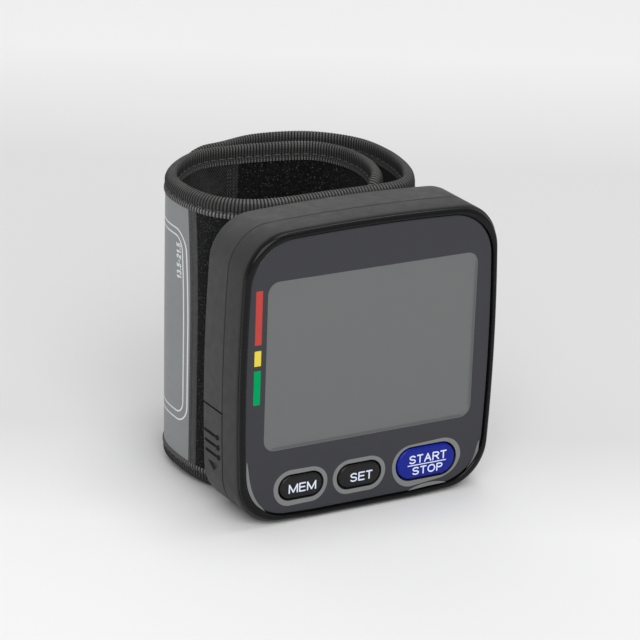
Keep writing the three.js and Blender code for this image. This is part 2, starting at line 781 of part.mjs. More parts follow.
// Middle line of the band: inner roll, straight front run, right bend and outer layer
function cuffRoute() {
  const base = frontRunDepth + bandThickness + gap + tailSpread;
  const place = ([x, y]) => new THREE.Vector3(x * rollWidth, base + y * rollDepth, 0);
  const flatPoint = (x) => new THREE.Vector3(x, frontRunDepth, 0);
  const settle = (p) => (p.y < frontRunDepth ? flatPoint(p.x) : p);
  const innerPoints = innerRouteShares.map(place).map(settle);
  innerPoints.push(flatPoint(-frontRunHalf));
  const inner = new THREE.CatmullRomCurve3(innerPoints, false, 'centripetal');
  const outerPoints = outerRouteShares.map(([along, looseness]) => {
    const point = inner.getPointAt(along);
    const tangent = inner.getTangentAt(along);
    const away = bandThickness + gap + looseness * rollDepth;
    return new THREE.Vector3(point.x + tangent.y * away, point.y - tangent.x * away, 0);
  });
  const bendPoints = bendRouteShares.map(place).map(settle);
  const outer = new THREE.CatmullRomCurve3(
    [flatPoint(frontRunHalf), ...bendPoints, ...outerPoints],
    false,
    'centripetal',
  );
  const route = new THREE.CurvePath();
  route.add(inner);
  route.add(new THREE.LineCurve3(flatPoint(-frontRunHalf), flatPoint(frontRunHalf)));
  route.add(outer);
  return route;
}

const route = cuffRoute();
const routeLengths = route.getCurveLengths();
const routeLength = routeLengths[2];
const plateMiddle = (routeLengths[0] + routeLengths[1]) / 2;

// A point of the band: length along the route, depth outwards from the middle line, height
function bandPoint(along, depth, height) {
  const t = Math.min(Math.max(along / routeLength, 0), 1);
  const point = route.getPoint(t);
  const step = gap / routeLength;
  const ahead = route.getPoint(Math.min(t + step, 1));
  const behind = route.getPoint(Math.max(t - step, 0));
  const tangent = ahead.sub(behind).normalize();
  return [point.x + tangent.y * depth, point.y - tangent.x * depth, height];
}

// Stations along the route between two lengths, all layers using the same ones
function stations(from, to, extra = []) {
  const list = [from];
  for (let i = 0; i * bandStep < routeLength; i += 1) {
    const s = i * bandStep;
    if (s > from + bandStep / 3 && s < to - bandStep / 3) list.push(s);
  }
  for (const s of extra) {
    if (s > from && s < to) list.push(s);
  }
  list.push(to);
  return list.sort((a, b) => a - b);
}

// Stations that crowd together in a round corner of the given radius at one end
function cornerStations(end, direction, radius) {
  return [0.05, 0.2, 0.45, 0.75].map((share) => end + direction * radius * share);
}

// How much a round corner takes off the height at a place near the band's end
function cornerLoss(distance, radius) {
  if (distance >= radius) return 0;
  const rest = radius - Math.max(distance, 0);
  return radius - Math.sqrt(radius ** 2 - rest ** 2);
}

// One layer of the band: a thin solid between two lengths, two depths and two heights
function layer(from, to, inner, outer, low, high, rounded = {}) {
  const extra = [];
  if (rounded.start) extra.push(...cornerStations(from, 1, rounded.start));
  if (rounded.end) extra.push(...cornerStations(to, -1, rounded.end));
  const points = [];
  const index = [];
  const list = stations(from, to, extra);
  for (const s of list) {
    const loss = Math.max(
      rounded.start ? cornerLoss(s - from, rounded.start) : 0,
      rounded.end ? cornerLoss(to - s, rounded.end) : 0,
    );
    points.push(bandPoint(s, outer, low + loss), bandPoint(s, outer, high - loss));
    points.push(bandPoint(s, inner, high - loss), bandPoint(s, inner, low + loss));
  }
  for (let i = 0; i < list.length - 1; i += 1) {
    for (let j = 0; j < 4; j += 1) {
      const k = (j + 1) % 4;
      index.push(4 * i + j, 4 * i + k, 4 * i + 4 + j, 4 * i + k, 4 * i + 4 + k, 4 * i + 4 + j);
    }
  }
  const last = 4 * (list.length - 1);
  index.push(2, 1, 0, 3, 2, 0, last, last + 1, last + 2, last, last + 2, last + 3);
  return closedGeometry(points, index);
}

// Binding tape along an edge line: each place has its length and height, and the way to the band's inside
function tape(line) {
  const section = [
    [tapeWidth, halfBand],
    [tapeRound, halfBand],
    [0, halfBand - tapeRound],
    [0, tapeRound - halfBand],
    [tapeRound, -halfBand],
    [tapeWidth, -halfBand],
  ];
  const count = section.length;
  const points = [];
  const index = [];
  for (const place of line) {
    for (const [inward, depth] of section) {
      points.push(bandPoint(place.s + place.ds * inward, depth, place.z + place.dz * inward));
    }
  }
  for (let i = 0; i < line.length - 1; i += 1) {
    for (let j = 0; j < count; j += 1) {
      const [a, b] = [count * i + j, count * i + ((j + 1) % count)];
      index.push(a, b, a + count, b, b + count, a + count);
    }
  }
  const last = count * (line.length - 1);
  for (let j = 1; j < count - 1; j += 1) {
    index.push(j + 1, j, 0, last, last + j, last + j + 1);
  }
  return closedGeometry(points, index);
}

// Edge line of a straight edge at the top or the bottom
function edgeLine(from, to, isTop) {
  const places = stations(from, to).map((s) => ({ s, z: isTop ? cuffHeight : 0, ds: 0, dz: isTop ? -1 : 1 }));
  return places;
}

// Edge line that runs along the top, round the band's end and back along the bottom
function wrapLine(start, end, radius) {
  const direction = Math.sign(end - start);
  const near = end - direction * radius;
  const top = edgeLine(Math.min(start, near), Math.max(start, near), true);
  const bottom = edgeLine(Math.min(start, near), Math.max(start, near), false);
  if (direction < 0) top.reverse();
  if (direction > 0) bottom.reverse();
  const corner = (centreZ, fromAngle) => [1, 2, 3, 4].map((i) => {
    const angle = fromAngle - (i * Math.PI) / 8;
    const [c, s] = [Math.cos(angle), Math.sin(angle)];
    return { s: near + direction * radius * c, z: centreZ + radius * s, ds: -direction * c, dz: -s };
  });
  const upper = corner(cuffHeight - radius, Math.PI / 2);
  const lower = [{ ...upper[3], z: radius }, ...corner(radius, 0)];
  return [...top, ...upper, ...lower.slice(0, -1), ...bottom];
}

// Places along the route where the cuff changes
const innerLength = routeLengths[0];
const labelStart = labelStartShare * routeLength;
const labelEnd = labelEndShare * routeLength;
const bladderStart = bladderStartShare * routeLength;
const flapStart = flapHingeShare * routeLength;
const tipStart = tipHingeShare * routeLength;
const hookStart = hookPatchShare * routeLength;
const plateStart = plateMiddle - plateWidth / 2;
const plateEnd = plateMiddle + plateWidth / 2;
const outerInside = halfBand - clothThickness;
const stiffOutside = outerInside - gap;
const stiffInside = stiffOutside - stiffenerThickness;
const bladderOutside = stiffInside - gap;
const liningOutside = clothThickness - halfBand;
const coreInside = liningOutside + gap;

// Cut the holes for the plate's bosses and the nozzle through a layer at the front run
function frontRunHoles(geometry, bossHole) {
  let result = solid(geometry);
  const [front, back] = [bodyDepth, frontRunDepth + bandThickness];
  result = result.subtract(rodY(0, manifoldZ, cuffNozzleRadius + gap, front, back));
  for (const x of bossHole ? [-plateBossX, plateBossX] : []) {
    for (const z of [plateBossLow, plateBossHigh]) {
      result = result.subtract(rodY(x, z, plateBossRadius + gap, front, back));
    }
  }
  return geometryOf(result);
}

// Mounting plate in the cuff with four bosses that reach through the housing's back wall
function mountingPlate() {
  let plate = solid(layer(plateStart, plateEnd, stiffInside, stiffOutside, plateBossLow - plateMargin, clothHigh));
  const seat = frontRunDepth - (stiffInside + stiffOutside) / 2;
  const bossFront = backInner;
  for (const x of [-plateBossX, plateBossX]) {
    for (const z of [plateBossLow, plateBossHigh]) {
      plate = plate.add(rodY(x, z, plateBossRadius, bossFront, seat));
      plate = plate.subtract(rodY(x, z, screwRadius + gap, bossFront - overrun, seat - gap, 12));
    }
  }
  return geometryOf(plate.subtract(
    rodY(0, manifoldZ, cuffNozzleRadius + gap, bodyDepth, frontRunDepth + bandThickness),
  ));
}

// A cuff screw: its head lies on the back wall's inner face and its shank points into the plate's boss
function cuffScrew(x, z) {
  const profile = [
    new THREE.Vector2(0, 0),
    new THREE.Vector2(cuffScrewHeadRadius / 2, 0),
    new THREE.Vector2(cuffScrewHeadRadius, cuffScrewHeadHeight / 2),
    new THREE.Vector2(cuffScrewHeadRadius, cuffScrewHeadHeight),
    new THREE.Vector2(screwRadius, cuffScrewHeadHeight),
    new THREE.Vector2(screwRadius, cuffScrewHeadHeight + cuffScrewLength),
    new THREE.Vector2(0, cuffScrewHeadHeight + cuffScrewLength),
  ];
  const geometry = new THREE.LatheGeometry(profile, 12);
  geometry.translate(x, innerBack - cuffScrewHeadHeight, z);
  return geometryOf(solid(geometry));
}

const monitor = new THREE.Group();
monitor.name = 'wrist_blood_pressure_monitor';

// Add one named piece with its own material
function add(name, geometry, color, roughness = 0.6, metalness = 0) {
  const mesh = new THREE.Mesh(geometry, new THREE.MeshStandardMaterial({ color, roughness, metalness }));
  mesh.name = name;
  monitor.add(mesh);
}

// Housing
add('bezel_ring', bezelRing(), glossBlack, 0.2);
add('display_lens', displayLens(), 0x46464c, 0.15);
add('front_shell', frontShell(), shellGrey);
add('rear_shell', rearShell(), shellGrey);
add('battery_cover', batteryCover(), shellGrey);
add('mem_button', keycap('mem_button'), glossBlack, 0.3);
add('set_button', keycap('set_button'), glossBlack, 0.3);
add('start_stop_button', keycap('start_stop_button'), 0x202496, 0.3);
add('keypad_mat', keypadMat(), 0x8a8f94, 0.8);

// Display and board
add('display_panel', displayPanel(), 0x6e7070, 0.2);
add('connector_strip', connectorStrip(), 0xc08a94, 0.8);
add('main_board', mainBoard(), 0x1f6b3a);
add('controller_chip', controllerChip(), 0x1a1a1c);
add('buzzer', buzzer(), 0x1a1a1c);

// Air system
add('pump_motor', pumpMotor(), 0xb8babc, 0.35, 0.9);
add('pump_head', pumpHead(), 0xe4e2da);
add('air_manifold', airManifold(), 0xe4e2da);
add('air_valve', airValve(), 0x9a9c9e, 0.4, 0.8);
add('pressure_sensor', pressureSensor(), 0x2a2a2c);
add('pump_tube', sideTube(manifoldWidth / 2 + gap, headLeft - gap), 0xd8dcdc, 0.5);
add('valve_tube', sideTube(valveRight + gap, -manifoldWidth / 2 - gap), 0xd8dcdc, 0.5);
add('sensor_tube', sensorTube(topPort + gap, topPort + nozzleLength * 1.5), 0xd8dcdc, 0.5);

// Batteries and contacts
add('upper_cell', cell(upperCellZ, true), 0x2f6d8c, 0.4, 0.4);
add('lower_cell', cell(lowerCellZ, false), 0x2f6d8c, 0.4, 0.4);
add('contact_jumper', contactJumper(), 0xc8c8c4, 0.3, 1);
add('positive_contact', endContact(lowerCellZ, false), 0xc8c8c4, 0.3, 1);
add('negative_contact', endContact(upperCellZ, true), 0xc8c8c4, 0.3, 1);

// Housing screws
bossPlaces.forEach(([x, z], i) => {
  const shape = screw(x, z, backInner + gap / 3, screwHeadRadius, backWall - gap, screwEnd);
  add(`housing_screw_${i + 1}`, shape, 0x8c8c8a, 0.4, 1);
});

// Cuff: outer cloth in three panels, stiffener, bladder, lining and tape of the fixed part
const tailCloth = tapeWidth + gap;
const rootEnd = flapStart - gap / 2;
const tailInner = Math.max(tailCornerRadius - tailCloth, gap);
add('back_loop_panel', layer(tailCloth, labelStart - gap / 2, outerInside, halfBand, clothLow, clothHigh,
  { start: tailInner }), clothBlack, 1);
add('label_panel', layer(labelStart + gap / 2, labelEnd - gap / 2, outerInside, halfBand, clothLow, clothHigh),
  labelGrey, 0.7);
add('front_loop_panel', frontRunHoles(
  layer(labelEnd + gap / 2, rootEnd, outerInside, halfBand, clothLow, clothHigh), true), clothBlack, 1);
add('curl_stiffener', layer(tailCloth + gap, plateStart - gap, stiffInside, stiffOutside, clothLow + gap,
  clothHigh - gap, { start: tailInner }), 0xd0d4d6, 0.4);
add('mounting_plate', mountingPlate(), 0x303234);
add('air_bladder', layer(bladderStart, plateEnd, coreInside, bladderOutside, clothLow + gap, clothHigh - gap),
  0x8fa0a8, 0.4);
add('cuff_lining', layer(tailCloth, rootEnd, -halfBand, liningOutside, clothLow, clothHigh, { start: tailInner }),
  clothBlack, 1);
add('cuff_tape', tape(wrapLine(rootEnd, 0, tailCornerRadius)), clothBlack, 0.9);

// Flap, near stretch: from the bend beside the housing to the second fold
const sideFrom = flapStart + gap / 2;
const sideTo = tipStart - gap / 2;
add('flap_side_cloth', layer(sideFrom, sideTo, outerInside, halfBand, clothLow, clothHigh), clothBlack, 1);
add('flap_side_foam', layer(sideFrom, sideTo, coreInside, stiffOutside, clothLow + gap, clothHigh - gap),
  0x505254, 1);
add('flap_side_lining', layer(sideFrom, sideTo, -halfBand, liningOutside, clothLow, clothHigh), clothBlack, 1);
add('flap_side_tape_top', tape(edgeLine(sideFrom, sideTo, true)), clothBlack, 0.9);
add('flap_side_tape_bottom', tape(edgeLine(sideFrom, sideTo, false)), clothBlack, 0.9);

// Flap, far stretch: the rounded end with the hook patch
const tipFrom = tipStart + gap / 2;
const tipTo = routeLength - tapeWidth - gap;
const tipCorner = flapCornerRadius - tapeWidth - gap;
add('flap_tip_cloth', layer(tipFrom, tipTo, outerInside, halfBand, clothLow, clothHigh, { end: tipCorner }),
  clothBlack, 1);
add('flap_tip_foam', layer(tipFrom, tipTo - gap, coreInside, stiffOutside, clothLow + gap, clothHigh - gap,
  { end: tipCorner }), 0x505254, 1);
add('flap_tip_lining', layer(tipFrom, hookStart - gap / 2, -halfBand, liningOutside, clothLow, clothHigh),
  clothBlack, 1);
add('hook_patch', layer(hookStart + gap / 2, tipTo, -halfBand, liningOutside, clothLow, clothHigh,
  { end: tipCorner }), 0x222322, 1);
add('flap_tip_tape', tape(wrapLine(tipFrom, routeLength, flapCornerRadius)), clothBlack, 0.9);

// Cuff screws
const cuffScrewPlaces = [
  [-plateBossX, plateBossLow],
  [plateBossX, plateBossLow],
  [-plateBossX, plateBossHigh],
  [plateBossX, plateBossHigh],
];
cuffScrewPlaces.forEach(([x, z], i) => {
  add(`cuff_screw_${i + 1}`, cuffScrew(x, z), 0x8c8c8a, 0.4, 1);
});

monitor.position.y = -standDepth;

export default monitor;
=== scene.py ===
"""Wrist blood pressure monitor: its visible surfaces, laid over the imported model.

Lengths inside the functions are millimetres, with depth counted back from the rim's front plane.
Each shape is a grid of points worked out from a formula, which its docstring gives in words.
"""

from functools import wraps
from math import pi, radians

import bmesh
import bpy
import numpy as np
from bpy.props import FloatProperty, FloatVectorProperty, PointerProperty
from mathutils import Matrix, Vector


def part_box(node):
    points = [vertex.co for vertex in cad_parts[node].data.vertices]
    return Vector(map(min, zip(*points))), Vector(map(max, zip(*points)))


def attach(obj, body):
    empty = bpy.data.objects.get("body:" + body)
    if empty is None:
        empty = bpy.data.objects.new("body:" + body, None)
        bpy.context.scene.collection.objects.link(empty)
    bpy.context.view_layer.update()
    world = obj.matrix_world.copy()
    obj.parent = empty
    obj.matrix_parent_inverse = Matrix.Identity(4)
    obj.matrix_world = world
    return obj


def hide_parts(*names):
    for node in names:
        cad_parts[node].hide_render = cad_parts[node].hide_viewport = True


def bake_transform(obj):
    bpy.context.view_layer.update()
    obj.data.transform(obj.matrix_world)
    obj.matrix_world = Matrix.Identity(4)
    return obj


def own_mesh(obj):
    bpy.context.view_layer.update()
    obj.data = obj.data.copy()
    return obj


bl_info = {
    "name": "Wrist blood pressure monitor",
    "version": (1, 0, 0),
    "blender": (4, 5, 0),
    "location": "View3D > Sidebar > Monitor",
    "description": "Builds the housing, keys and rolled cuff of a wrist blood pressure monitor",
    "category": "Add Mesh",
}

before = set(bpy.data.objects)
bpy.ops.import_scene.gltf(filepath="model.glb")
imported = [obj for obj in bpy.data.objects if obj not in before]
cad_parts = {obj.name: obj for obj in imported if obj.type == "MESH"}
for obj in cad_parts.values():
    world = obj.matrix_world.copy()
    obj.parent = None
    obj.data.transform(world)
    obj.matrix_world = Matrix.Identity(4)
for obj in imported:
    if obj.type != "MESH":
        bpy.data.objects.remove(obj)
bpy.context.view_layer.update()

# Where the rim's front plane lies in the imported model, and the housing's size there
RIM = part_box("bezel_ring")
FRONT = RIM[0].y * 1000
BODY_WIDTH = round((RIM[1].x - RIM[0].x) * 1000, 2)
BODY_HEIGHT = round(RIM[1].z * 1000, 2)
BODY_DEPTH = round((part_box("rear_shell")[1].y - RIM[0].y) * 1000, 2)
# Clearance between pieces that don't touch
GAP = 0.3


# ---------------------------------------------------------------- settings


def length(name, description, millimetres):
    """A length setting, which Blender keeps in metres."""
    return FloatProperty(
        name=name, description=description, default=millimetres / 1000, subtype="DISTANCE", unit="LENGTH", precision=5
    )


def colour(name, description, red, green, blue):
    """A colour setting in linear light."""
    return FloatVectorProperty(
        name=name, description=description, default=(red, green, blue), subtype="COLOR", min=0, max=1
    )


class HousingSizes(bpy.types.PropertyGroup):
    """Sizes of the plastic housing."""

    width: length("Width", "Across the housing's bowed sides", BODY_WIDTH)
    height: length("Height", "From the flat foot to the top", BODY_HEIGHT)
    depth: length("Depth", "From the rim's front to the back wall", BODY_DEPTH)
    corner_radius: length("Corner radius", "Radius of the four corners", 11)
    side_radius: length("Side radius", "Radius of the bow in each side", 480)
    foot_width: length("Foot width", "Width of the flat under the housing", 28)
    wall: length("Wall", "Thickness of the side walls", 1.5)
    rim_step: length("Rim step", "How far the rim's side stands in from the shell's", 0.45)
    rim_fillet: length("Rim fillet", "Radius of the rim's round front edge", 0.9)
    rim_lip: length("Rim lip", "From the housing's side to the rim's inner edge", 1.75)
    face_rounding: length("Face rounding", "How much rounder the lens's corners are than the housing's", 2.8)
    parting_depth: length("Parting depth", "Where front and rear shell meet", 8.54)
    cover_width: length("Cover edge", "Where the battery cover ends at the right", 17.25)
    cover_height: length("Cover top", "Where the battery cover ends at the top", 26.95)


class CuffSizes(bpy.types.PropertyGroup):
    """Sizes of the cuff band and its edge tape."""

    height: length("Height", "Width of the band, which stands upright", BODY_HEIGHT)
    thickness: length("Thickness", "Thickness of the band at its edge tape", 3.4)
    roll_width: length("Roll width", "Width that the roll's shape is scaled to", 61)
    roll_depth: length("Roll depth", "Depth that the roll's shape is scaled to", 42.7)
    tape_width: length("Tape width", "How far the edge tape reaches over the cloth", 4.7)
    rib_pitch: length("Rib pitch", "From rib to rib on the edge tape", 0.84)
    rib_height: length("Rib height", "How far a rib stands out of the edge tape", 0.15)
    stitch_pitch: length("Stitch pitch", "From stitch to stitch", 2.6)
    lean: length("Lean", "How far the left bend leans inwards at its foot", 1.0)


class FinishColours(bpy.types.PropertyGroup):
    """Colours of the finishes."""

    shell: colour("Shell", "Matte moulded plastic of the housing", 0.034, 0.035, 0.034)
    rim: colour("Rim", "Polished rim round the face", 0.004, 0.0043, 0.0043)
    print_grey: colour("Lens print", "Grey printed behind the lens", 0.0262, 0.0268, 0.0335)
    display: colour("Display", "Liquid crystal display when it is off", 0.18, 0.184, 0.183)
    red_bar: colour("Red bar", "High pressure mark", 0.49, 0.062, 0.052)
    yellow_bar: colour("Yellow bar", "Middle pressure mark", 0.75, 0.61, 0.07)
    green_bar: colour("Green bar", "Normal pressure mark", 0.0, 0.33, 0.105)
    black_key: colour("Black keys", "The two black keys", 0.0095, 0.01, 0.0095)
    blue_key: colour("Blue key", "The start and stop key", 0.004, 0.012, 0.235)
    lettering: colour("Lettering", "Printing on the keys", 0.72, 0.78, 0.92)
    glue: colour("Glue", "Pale glue that shows round the keys", 0.185, 0.19, 0.188)
    cloth: colour("Cloth", "Black loop cloth", 0.008, 0.0085, 0.0085)
    tape: colour("Tape", "Black edge tape", 0.06, 0.0605, 0.059)
    label: colour("Label", "Grey coated cloth at the left bend", 0.238, 0.25, 0.256)
    floor: colour("Floor", "The pale floor", 0.85, 0.85, 0.85)


def mm(value):
    """A length setting in millimetres."""
    return round(value * 1000, 4)


def housing():
    return bpy.context.scene.monitor_housing


def cuff():
    return bpy.context.scene.monitor_cuff


def finish_colours():
    return bpy.context.scene.monitor_colours


# ---------------------------------------------------------------- meshes from grids


def to_frame(points):
    """Points in millimetres behind the rim's front plane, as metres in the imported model's frame."""
    return (np.asarray(points, float) + [0, FRONT, 0]) / 1000


def grid_faces(rows, columns, closed, around):
    """Quads of a grid: each joins a point to the next in its row and the same two in the next row.

    Returns the point numbers, and each corner's row and column before they wrap round.
    """
    i, j = np.meshgrid(np.arange(rows - (not closed)), np.arange(columns - (not around)), indexing="ij")
    corner_row = np.stack([i, i + 1, i + 1, i], -1).reshape(-1, 4)
    corner_column = np.stack([j, j, j + 1, j + 1], -1).reshape(-1, 4)
    return (corner_row % rows) * columns + corner_column % columns, corner_row, corner_column


def add(name, data):
    """A new object in the scene."""
    obj = bpy.data.objects.new(name, data)
    bpy.context.scene.collection.objects.link(obj)
    return obj


def surface(name, grid, closed=False, around=False, caps=False, uv=None):
    """A mesh object from a grid of points, rows along a path and columns along its profile.

    closed joins the last row to the first, around joins the last column to the first, and caps puts
    one face over the first and the last row. uv holds a place on the cloth for each row and column.
    """
    grid = np.asarray(grid, float)
    rows, columns = grid.shape[:2]
    quads, corner_row, corner_column = grid_faces(rows, columns, closed, around)
    faces = quads.tolist()
    if caps:
        faces.append(list(range(columns))[::-1])
        faces.append(list(range((rows - 1) * columns, rows * columns)))
    mesh = bpy.data.meshes.new(name)
    mesh.from_pydata(to_frame(grid.reshape(-1, 3)).tolist(), [], faces)
    if uv is not None:
        layer = mesh.uv_layers.new(name="cloth")
        places = uv[corner_row, corner_column].reshape(-1, 2)
        if caps:
            ends = np.concatenate([uv[0, :columns][::-1], uv[rows - 1, :columns]])
            places = np.concatenate([places, ends])
        layer.data.foreach_set("uv", places.astype(np.float32).ravel())
    return outward(add(name, mesh))


def outward(obj):
    """Turns every face of a mesh outwards."""
    shape = bmesh.new()
    shape.from_mesh(obj.data)
    bmesh.ops.remove_doubles(shape, verts=shape.verts, dist=1e-8)
    bmesh.ops.recalc_face_normals(shape, faces=shape.faces)
    shape.to_mesh(obj.data)
    shape.free()
    return obj


def join(name, objects):
    """One mesh object from several."""
    shape = bmesh.new()
    for obj in objects:
        shape.from_mesh(obj.data)
        bpy.data.objects.remove(obj)
    mesh = bpy.data.meshes.new(name)
    shape.to_mesh(mesh)
    shape.free()
    return add(name, mesh)


def carve(obj, operation, tools):
    """Cuts, joins or trims a mesh by other meshes, keeps the result and removes the others."""
    for tool in tools:
        modifier = obj.modifiers.new("carve", "BOOLEAN")
        modifier.operation = operation
        modifier.solver = "EXACT"
        modifier.object = tool
    depsgraph = bpy.context.evaluated_depsgraph_get()
    baked = bpy.data.meshes.new_from_object(obj.evaluated_get(depsgraph))
    if len(baked.polygons) < 4:
        raise RuntimeError(f"{obj.name} is empty after it was cut")
    obj.modifiers.clear()
    obj.data = baked
    for tool in tools:
        bpy.data.objects.remove(tool)
    return obj


def place(obj, body, slot, material, replaces=(), angle=32):
    """Gives a finished mesh its material, its soft shading and its body if it has only one, and hides the CAD nodes
    that it replaces.
    """
    obj.data.materials.clear()
    obj.data.materials.append(material)
    obj.data.polygons.foreach_set("use_smooth", np.ones(len(obj.data.polygons), bool))
    obj.data.set_sharp_from_angle(angle=radians(angle))
    if replaces:
        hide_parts(*replaces)
    if body:
        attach(obj, body)
    return obj


# ---------------------------------------------------------------- outlines and lofts


def arc(centre_x, centre_z, radius, start, end, steps):
    """Points on a circle from one angle to another."""
    angle = np.linspace(start, end, steps + 1)
    return np.stack([centre_x + radius * np.cos(angle), centre_z + radius * np.sin(angle)], -1)


def housing_outline(inset, rounder=0.0):
    """Outline of the housing drawn in by an inset: four long arcs, four corner arcs and a flat foot.

    rounder is added to the radius of the corners.
    """
    sizes = housing()
    width, height = mm(sizes.width), mm(sizes.height)
    corner, side, foot = mm(sizes.corner_radius) + rounder, mm(sizes.side_radius), mm(sizes.foot_width)
    half_height = (height + side - np.sqrt(side**2 - (foot / 2) ** 2)) / 2
    side_x, top_z = width / 2 - side, half_height - side
    half = np.hypot(side_x, top_z) / 2
    lift = np.sqrt((side - corner) ** 2 - half**2)
    corner_x = side_x / 2 - lift * top_z / (2 * half)
    corner_z = top_z / 2 - lift * side_x / (2 * half)
    turn = np.arctan2(corner_z, corner_x - side_x)
    rise = np.arctan2(corner_z - top_z, corner_x)
    tread = np.arcsin(foot / 2 / side)
    r, reach = corner - inset, side - inset
    arcs = [
        arc(side_x, 0, reach, -turn, turn, 16)[:-1],
        arc(corner_x, corner_z, r, turn, rise, 28)[:-1],
        arc(0, top_z, reach, rise, pi - rise, 16)[:-1],
        arc(-corner_x, corner_z, r, pi - rise, pi - turn, 28)[:-1],
        arc(-side_x, 0, reach, pi - turn, pi + turn, 16)[:-1],
        arc(-corner_x, -corner_z, r, pi + turn, pi + rise, 28)[:-1],
        arc(0, -top_z, reach, pi + rise, 1.5 * pi - tread, 6),
        arc(0, -top_z, reach, 1.5 * pi + tread, 2 * pi - rise, 6)[:-1],
        arc(corner_x, -corner_z, r, 2 * pi - rise, 2 * pi - turn, 28)[:-1],
    ]
    return np.concatenate(arcs) + [0, height - half_height]


def pill_outline(x, z, width, height, outset=0.0, steps=18):
    """Outline of a pill: two half circles joined by straight runs, moved out by outset."""
    reach = width / 2 - height / 2
    right = arc(x + reach, z, height / 2 + outset, -pi / 2, pi / 2, steps)
    left = arc(x - reach, z, height / 2 + outset, pi / 2, 1.5 * pi, steps)
    return np.concatenate([right, left])


def rectangle_outline(left, right, low, high, radius, steps=8):
    """Outline of a rectangle with four quarter circles at its corners."""
    return np.concatenate(
        [
            arc(right - radius, high - radius, radius, 0, pi / 2, steps),
            arc(left + radius, high - radius, radius, pi / 2, pi, steps),
            arc(left + radius, low + radius, radius, pi, 1.5 * pi, steps),
            arc(right - radius, low + radius, radius, 1.5 * pi, 2 * pi, steps),
        ]
    )


def loft(name, section, outline, closed=False):
    """A solid whose section is a list of inset and depth pairs, each drawn as the outline at that inset."""
    rings = [np.insert(outline(inset), 1, depth, axis=1) for inset, depth in section]
    return surface(name, rings, closed=closed, around=True, caps=not closed)


def slab(name, outline, front, back):
    """A plate with straight sides between two depths."""
    return loft(name, [(0, front), (0, back)], lambda inset: outline)


def box(name, low, high):
    """A box between two corners."""
    outline = np.array([(high[0], low[2]), (high[0], high[2]), (low[0], high[2]), (low[0], low[2])])
    return slab(name, outline, low[1], high[1])


def quarter(radius, inset, depth, steps=5, towards=1):
    """Inset and depth pairs of a round edge that ends in the front or the back plane."""
    angle = np.linspace(0, pi / 2, steps + 1)
    along = radius * (1 - np.cos(angle))
    across = radius * (1 - np.sin(angle))
    return [(inset + a, depth + towards * b) for a, b in zip(along, across)]


def rod(name, start, end, radius, rounded=False, sides=20):
    """A rod between two points: a circle carried along the line, with half spheres at its ends if rounded."""
    start, end = np.asarray(start, float), np.asarray(end, float)
    way = (end - start) / np.linalg.norm(end - start)
    side = np.cross(way, [0.31, 0.47, 0.83])
    side /= np.linalg.norm(side)
    up = np.cross(way, side)
    angle = np.linspace(0, 2 * pi, sides, endpoint=False)
    circle = np.outer(np.cos(angle), side) + np.outer(np.sin(angle), up)
    if rounded:
        bend = np.linspace(0.06, pi / 2, 6)
        rows = [start - way * radius * np.cos(b) + circle * radius * np.sin(b) for b in bend]
        rows += [end + way * radius * np.cos(b) + circle * radius * np.sin(b) for b in bend[::-1]]
    else:
        rows = [start + circle * radius, end + circle * radius]
    return surface(name, rows, around=True, caps=True)


# ---------------------------------------------------------------- lettering


def bow(x, z, across, up, start, end):
    """Points on an ellipse from one angle to another, in degrees."""
    angle = np.radians(np.linspace(start, end, 13))
    return np.stack([x + across * np.cos(angle), z + up * np.sin(angle)], -1)


def hook(x, z, across, up, foot):
    """The bowl of P and R: a half ellipse between two level runs to the stem."""
    return np.vstack([[(0, z + up)], bow(x, z, across, up, 90, -90), [(0, foot)]])


# Pen strokes of each sign in a box one unit wide and high, after its width as a share of its height
GLYPHS = {
    "A": (0.95, [[(0, 0), (0.5, 1)], [(0.5, 1), (1, 0)], [(0.2, 0.35), (0.8, 0.35)]]),
    "E": (0.8, [[(0, 0), (0, 1)], [(0, 1), (1, 1)], [(0, 0.52), (0.92, 0.52)], [(0, 0), (1, 0)]]),
    "M": (1.1, [[(0, 0), (0, 1)], [(0, 1), (0.5, 0.05)], [(0.5, 0.05), (1, 1)], [(1, 1), (1, 0)]]),
    "O": (1.0, [bow(0.5, 0.5, 0.5, 0.5, 90, 270), bow(0.5, 0.5, 0.5, 0.5, -90, 90)]),
    "P": (0.8, [[(0, 0), (0, 1)], hook(0.6, 0.74, 0.4, 0.26, 0.48)]),
    "R": (0.9, [[(0, 0), (0, 1)], hook(0.6, 0.75, 0.38, 0.25, 0.5), [(0.5, 0.5), (1, 0)]]),
    "S": (0.86, [np.vstack([bow(0.5, 0.75, 0.47, 0.25, 25, 270)[:-1], bow(0.5, 0.25, 0.5, 0.25, 90, -155)])]),
    "T": (0.82, [[(0, 1), (1, 1)], [(0.5, 1), (0.5, 0)]]),
    "1": (0.5, [[(0.7, 0), (0.7, 1)], [(0.7, 1), (0, 0.72)]]),
    "2": (0.62, [np.vstack([bow(0.5, 0.72, 0.46, 0.28, 165, -25), [(0, 0)]]), [(0, 0), (1, 0)]]),
    "3": (0.62, [bow(0.45, 0.76, 0.42, 0.24, 150, -90), bow(0.45, 0.26, 0.5, 0.26, 90, -155)]),
    "5": (0.62, [[(0.95, 1), (0.15, 1)], [(0.15, 1), (0.05, 0.5)], bow(0.45, 0.32, 0.5, 0.32, 140, -150)]),
    ".": (0.16, [[(0.5, 0), (0.5, 0.06)]]),
    "-": (0.4, [[(0, 0.42), (1, 0.42)]]),
}


def stroke_outline(line, width):
    """Outline of a pen stroke: its line moved to both sides, with half circles round its ends."""
    way = directions(line, lengths_along(line)) * width / 2
    side = np.stack([-way[:, 1], way[:, 0]], -1)
    angle = np.linspace(0, pi, 7)[1:-1, None]
    end = line[-1] + np.cos(angle) * side[-1] + np.sin(angle) * way[-1]
    start = line[0] - np.cos(angle) * side[0] - np.sin(angle) * way[0]
    return np.concatenate([line + side, end, (line - side)[::-1], start])


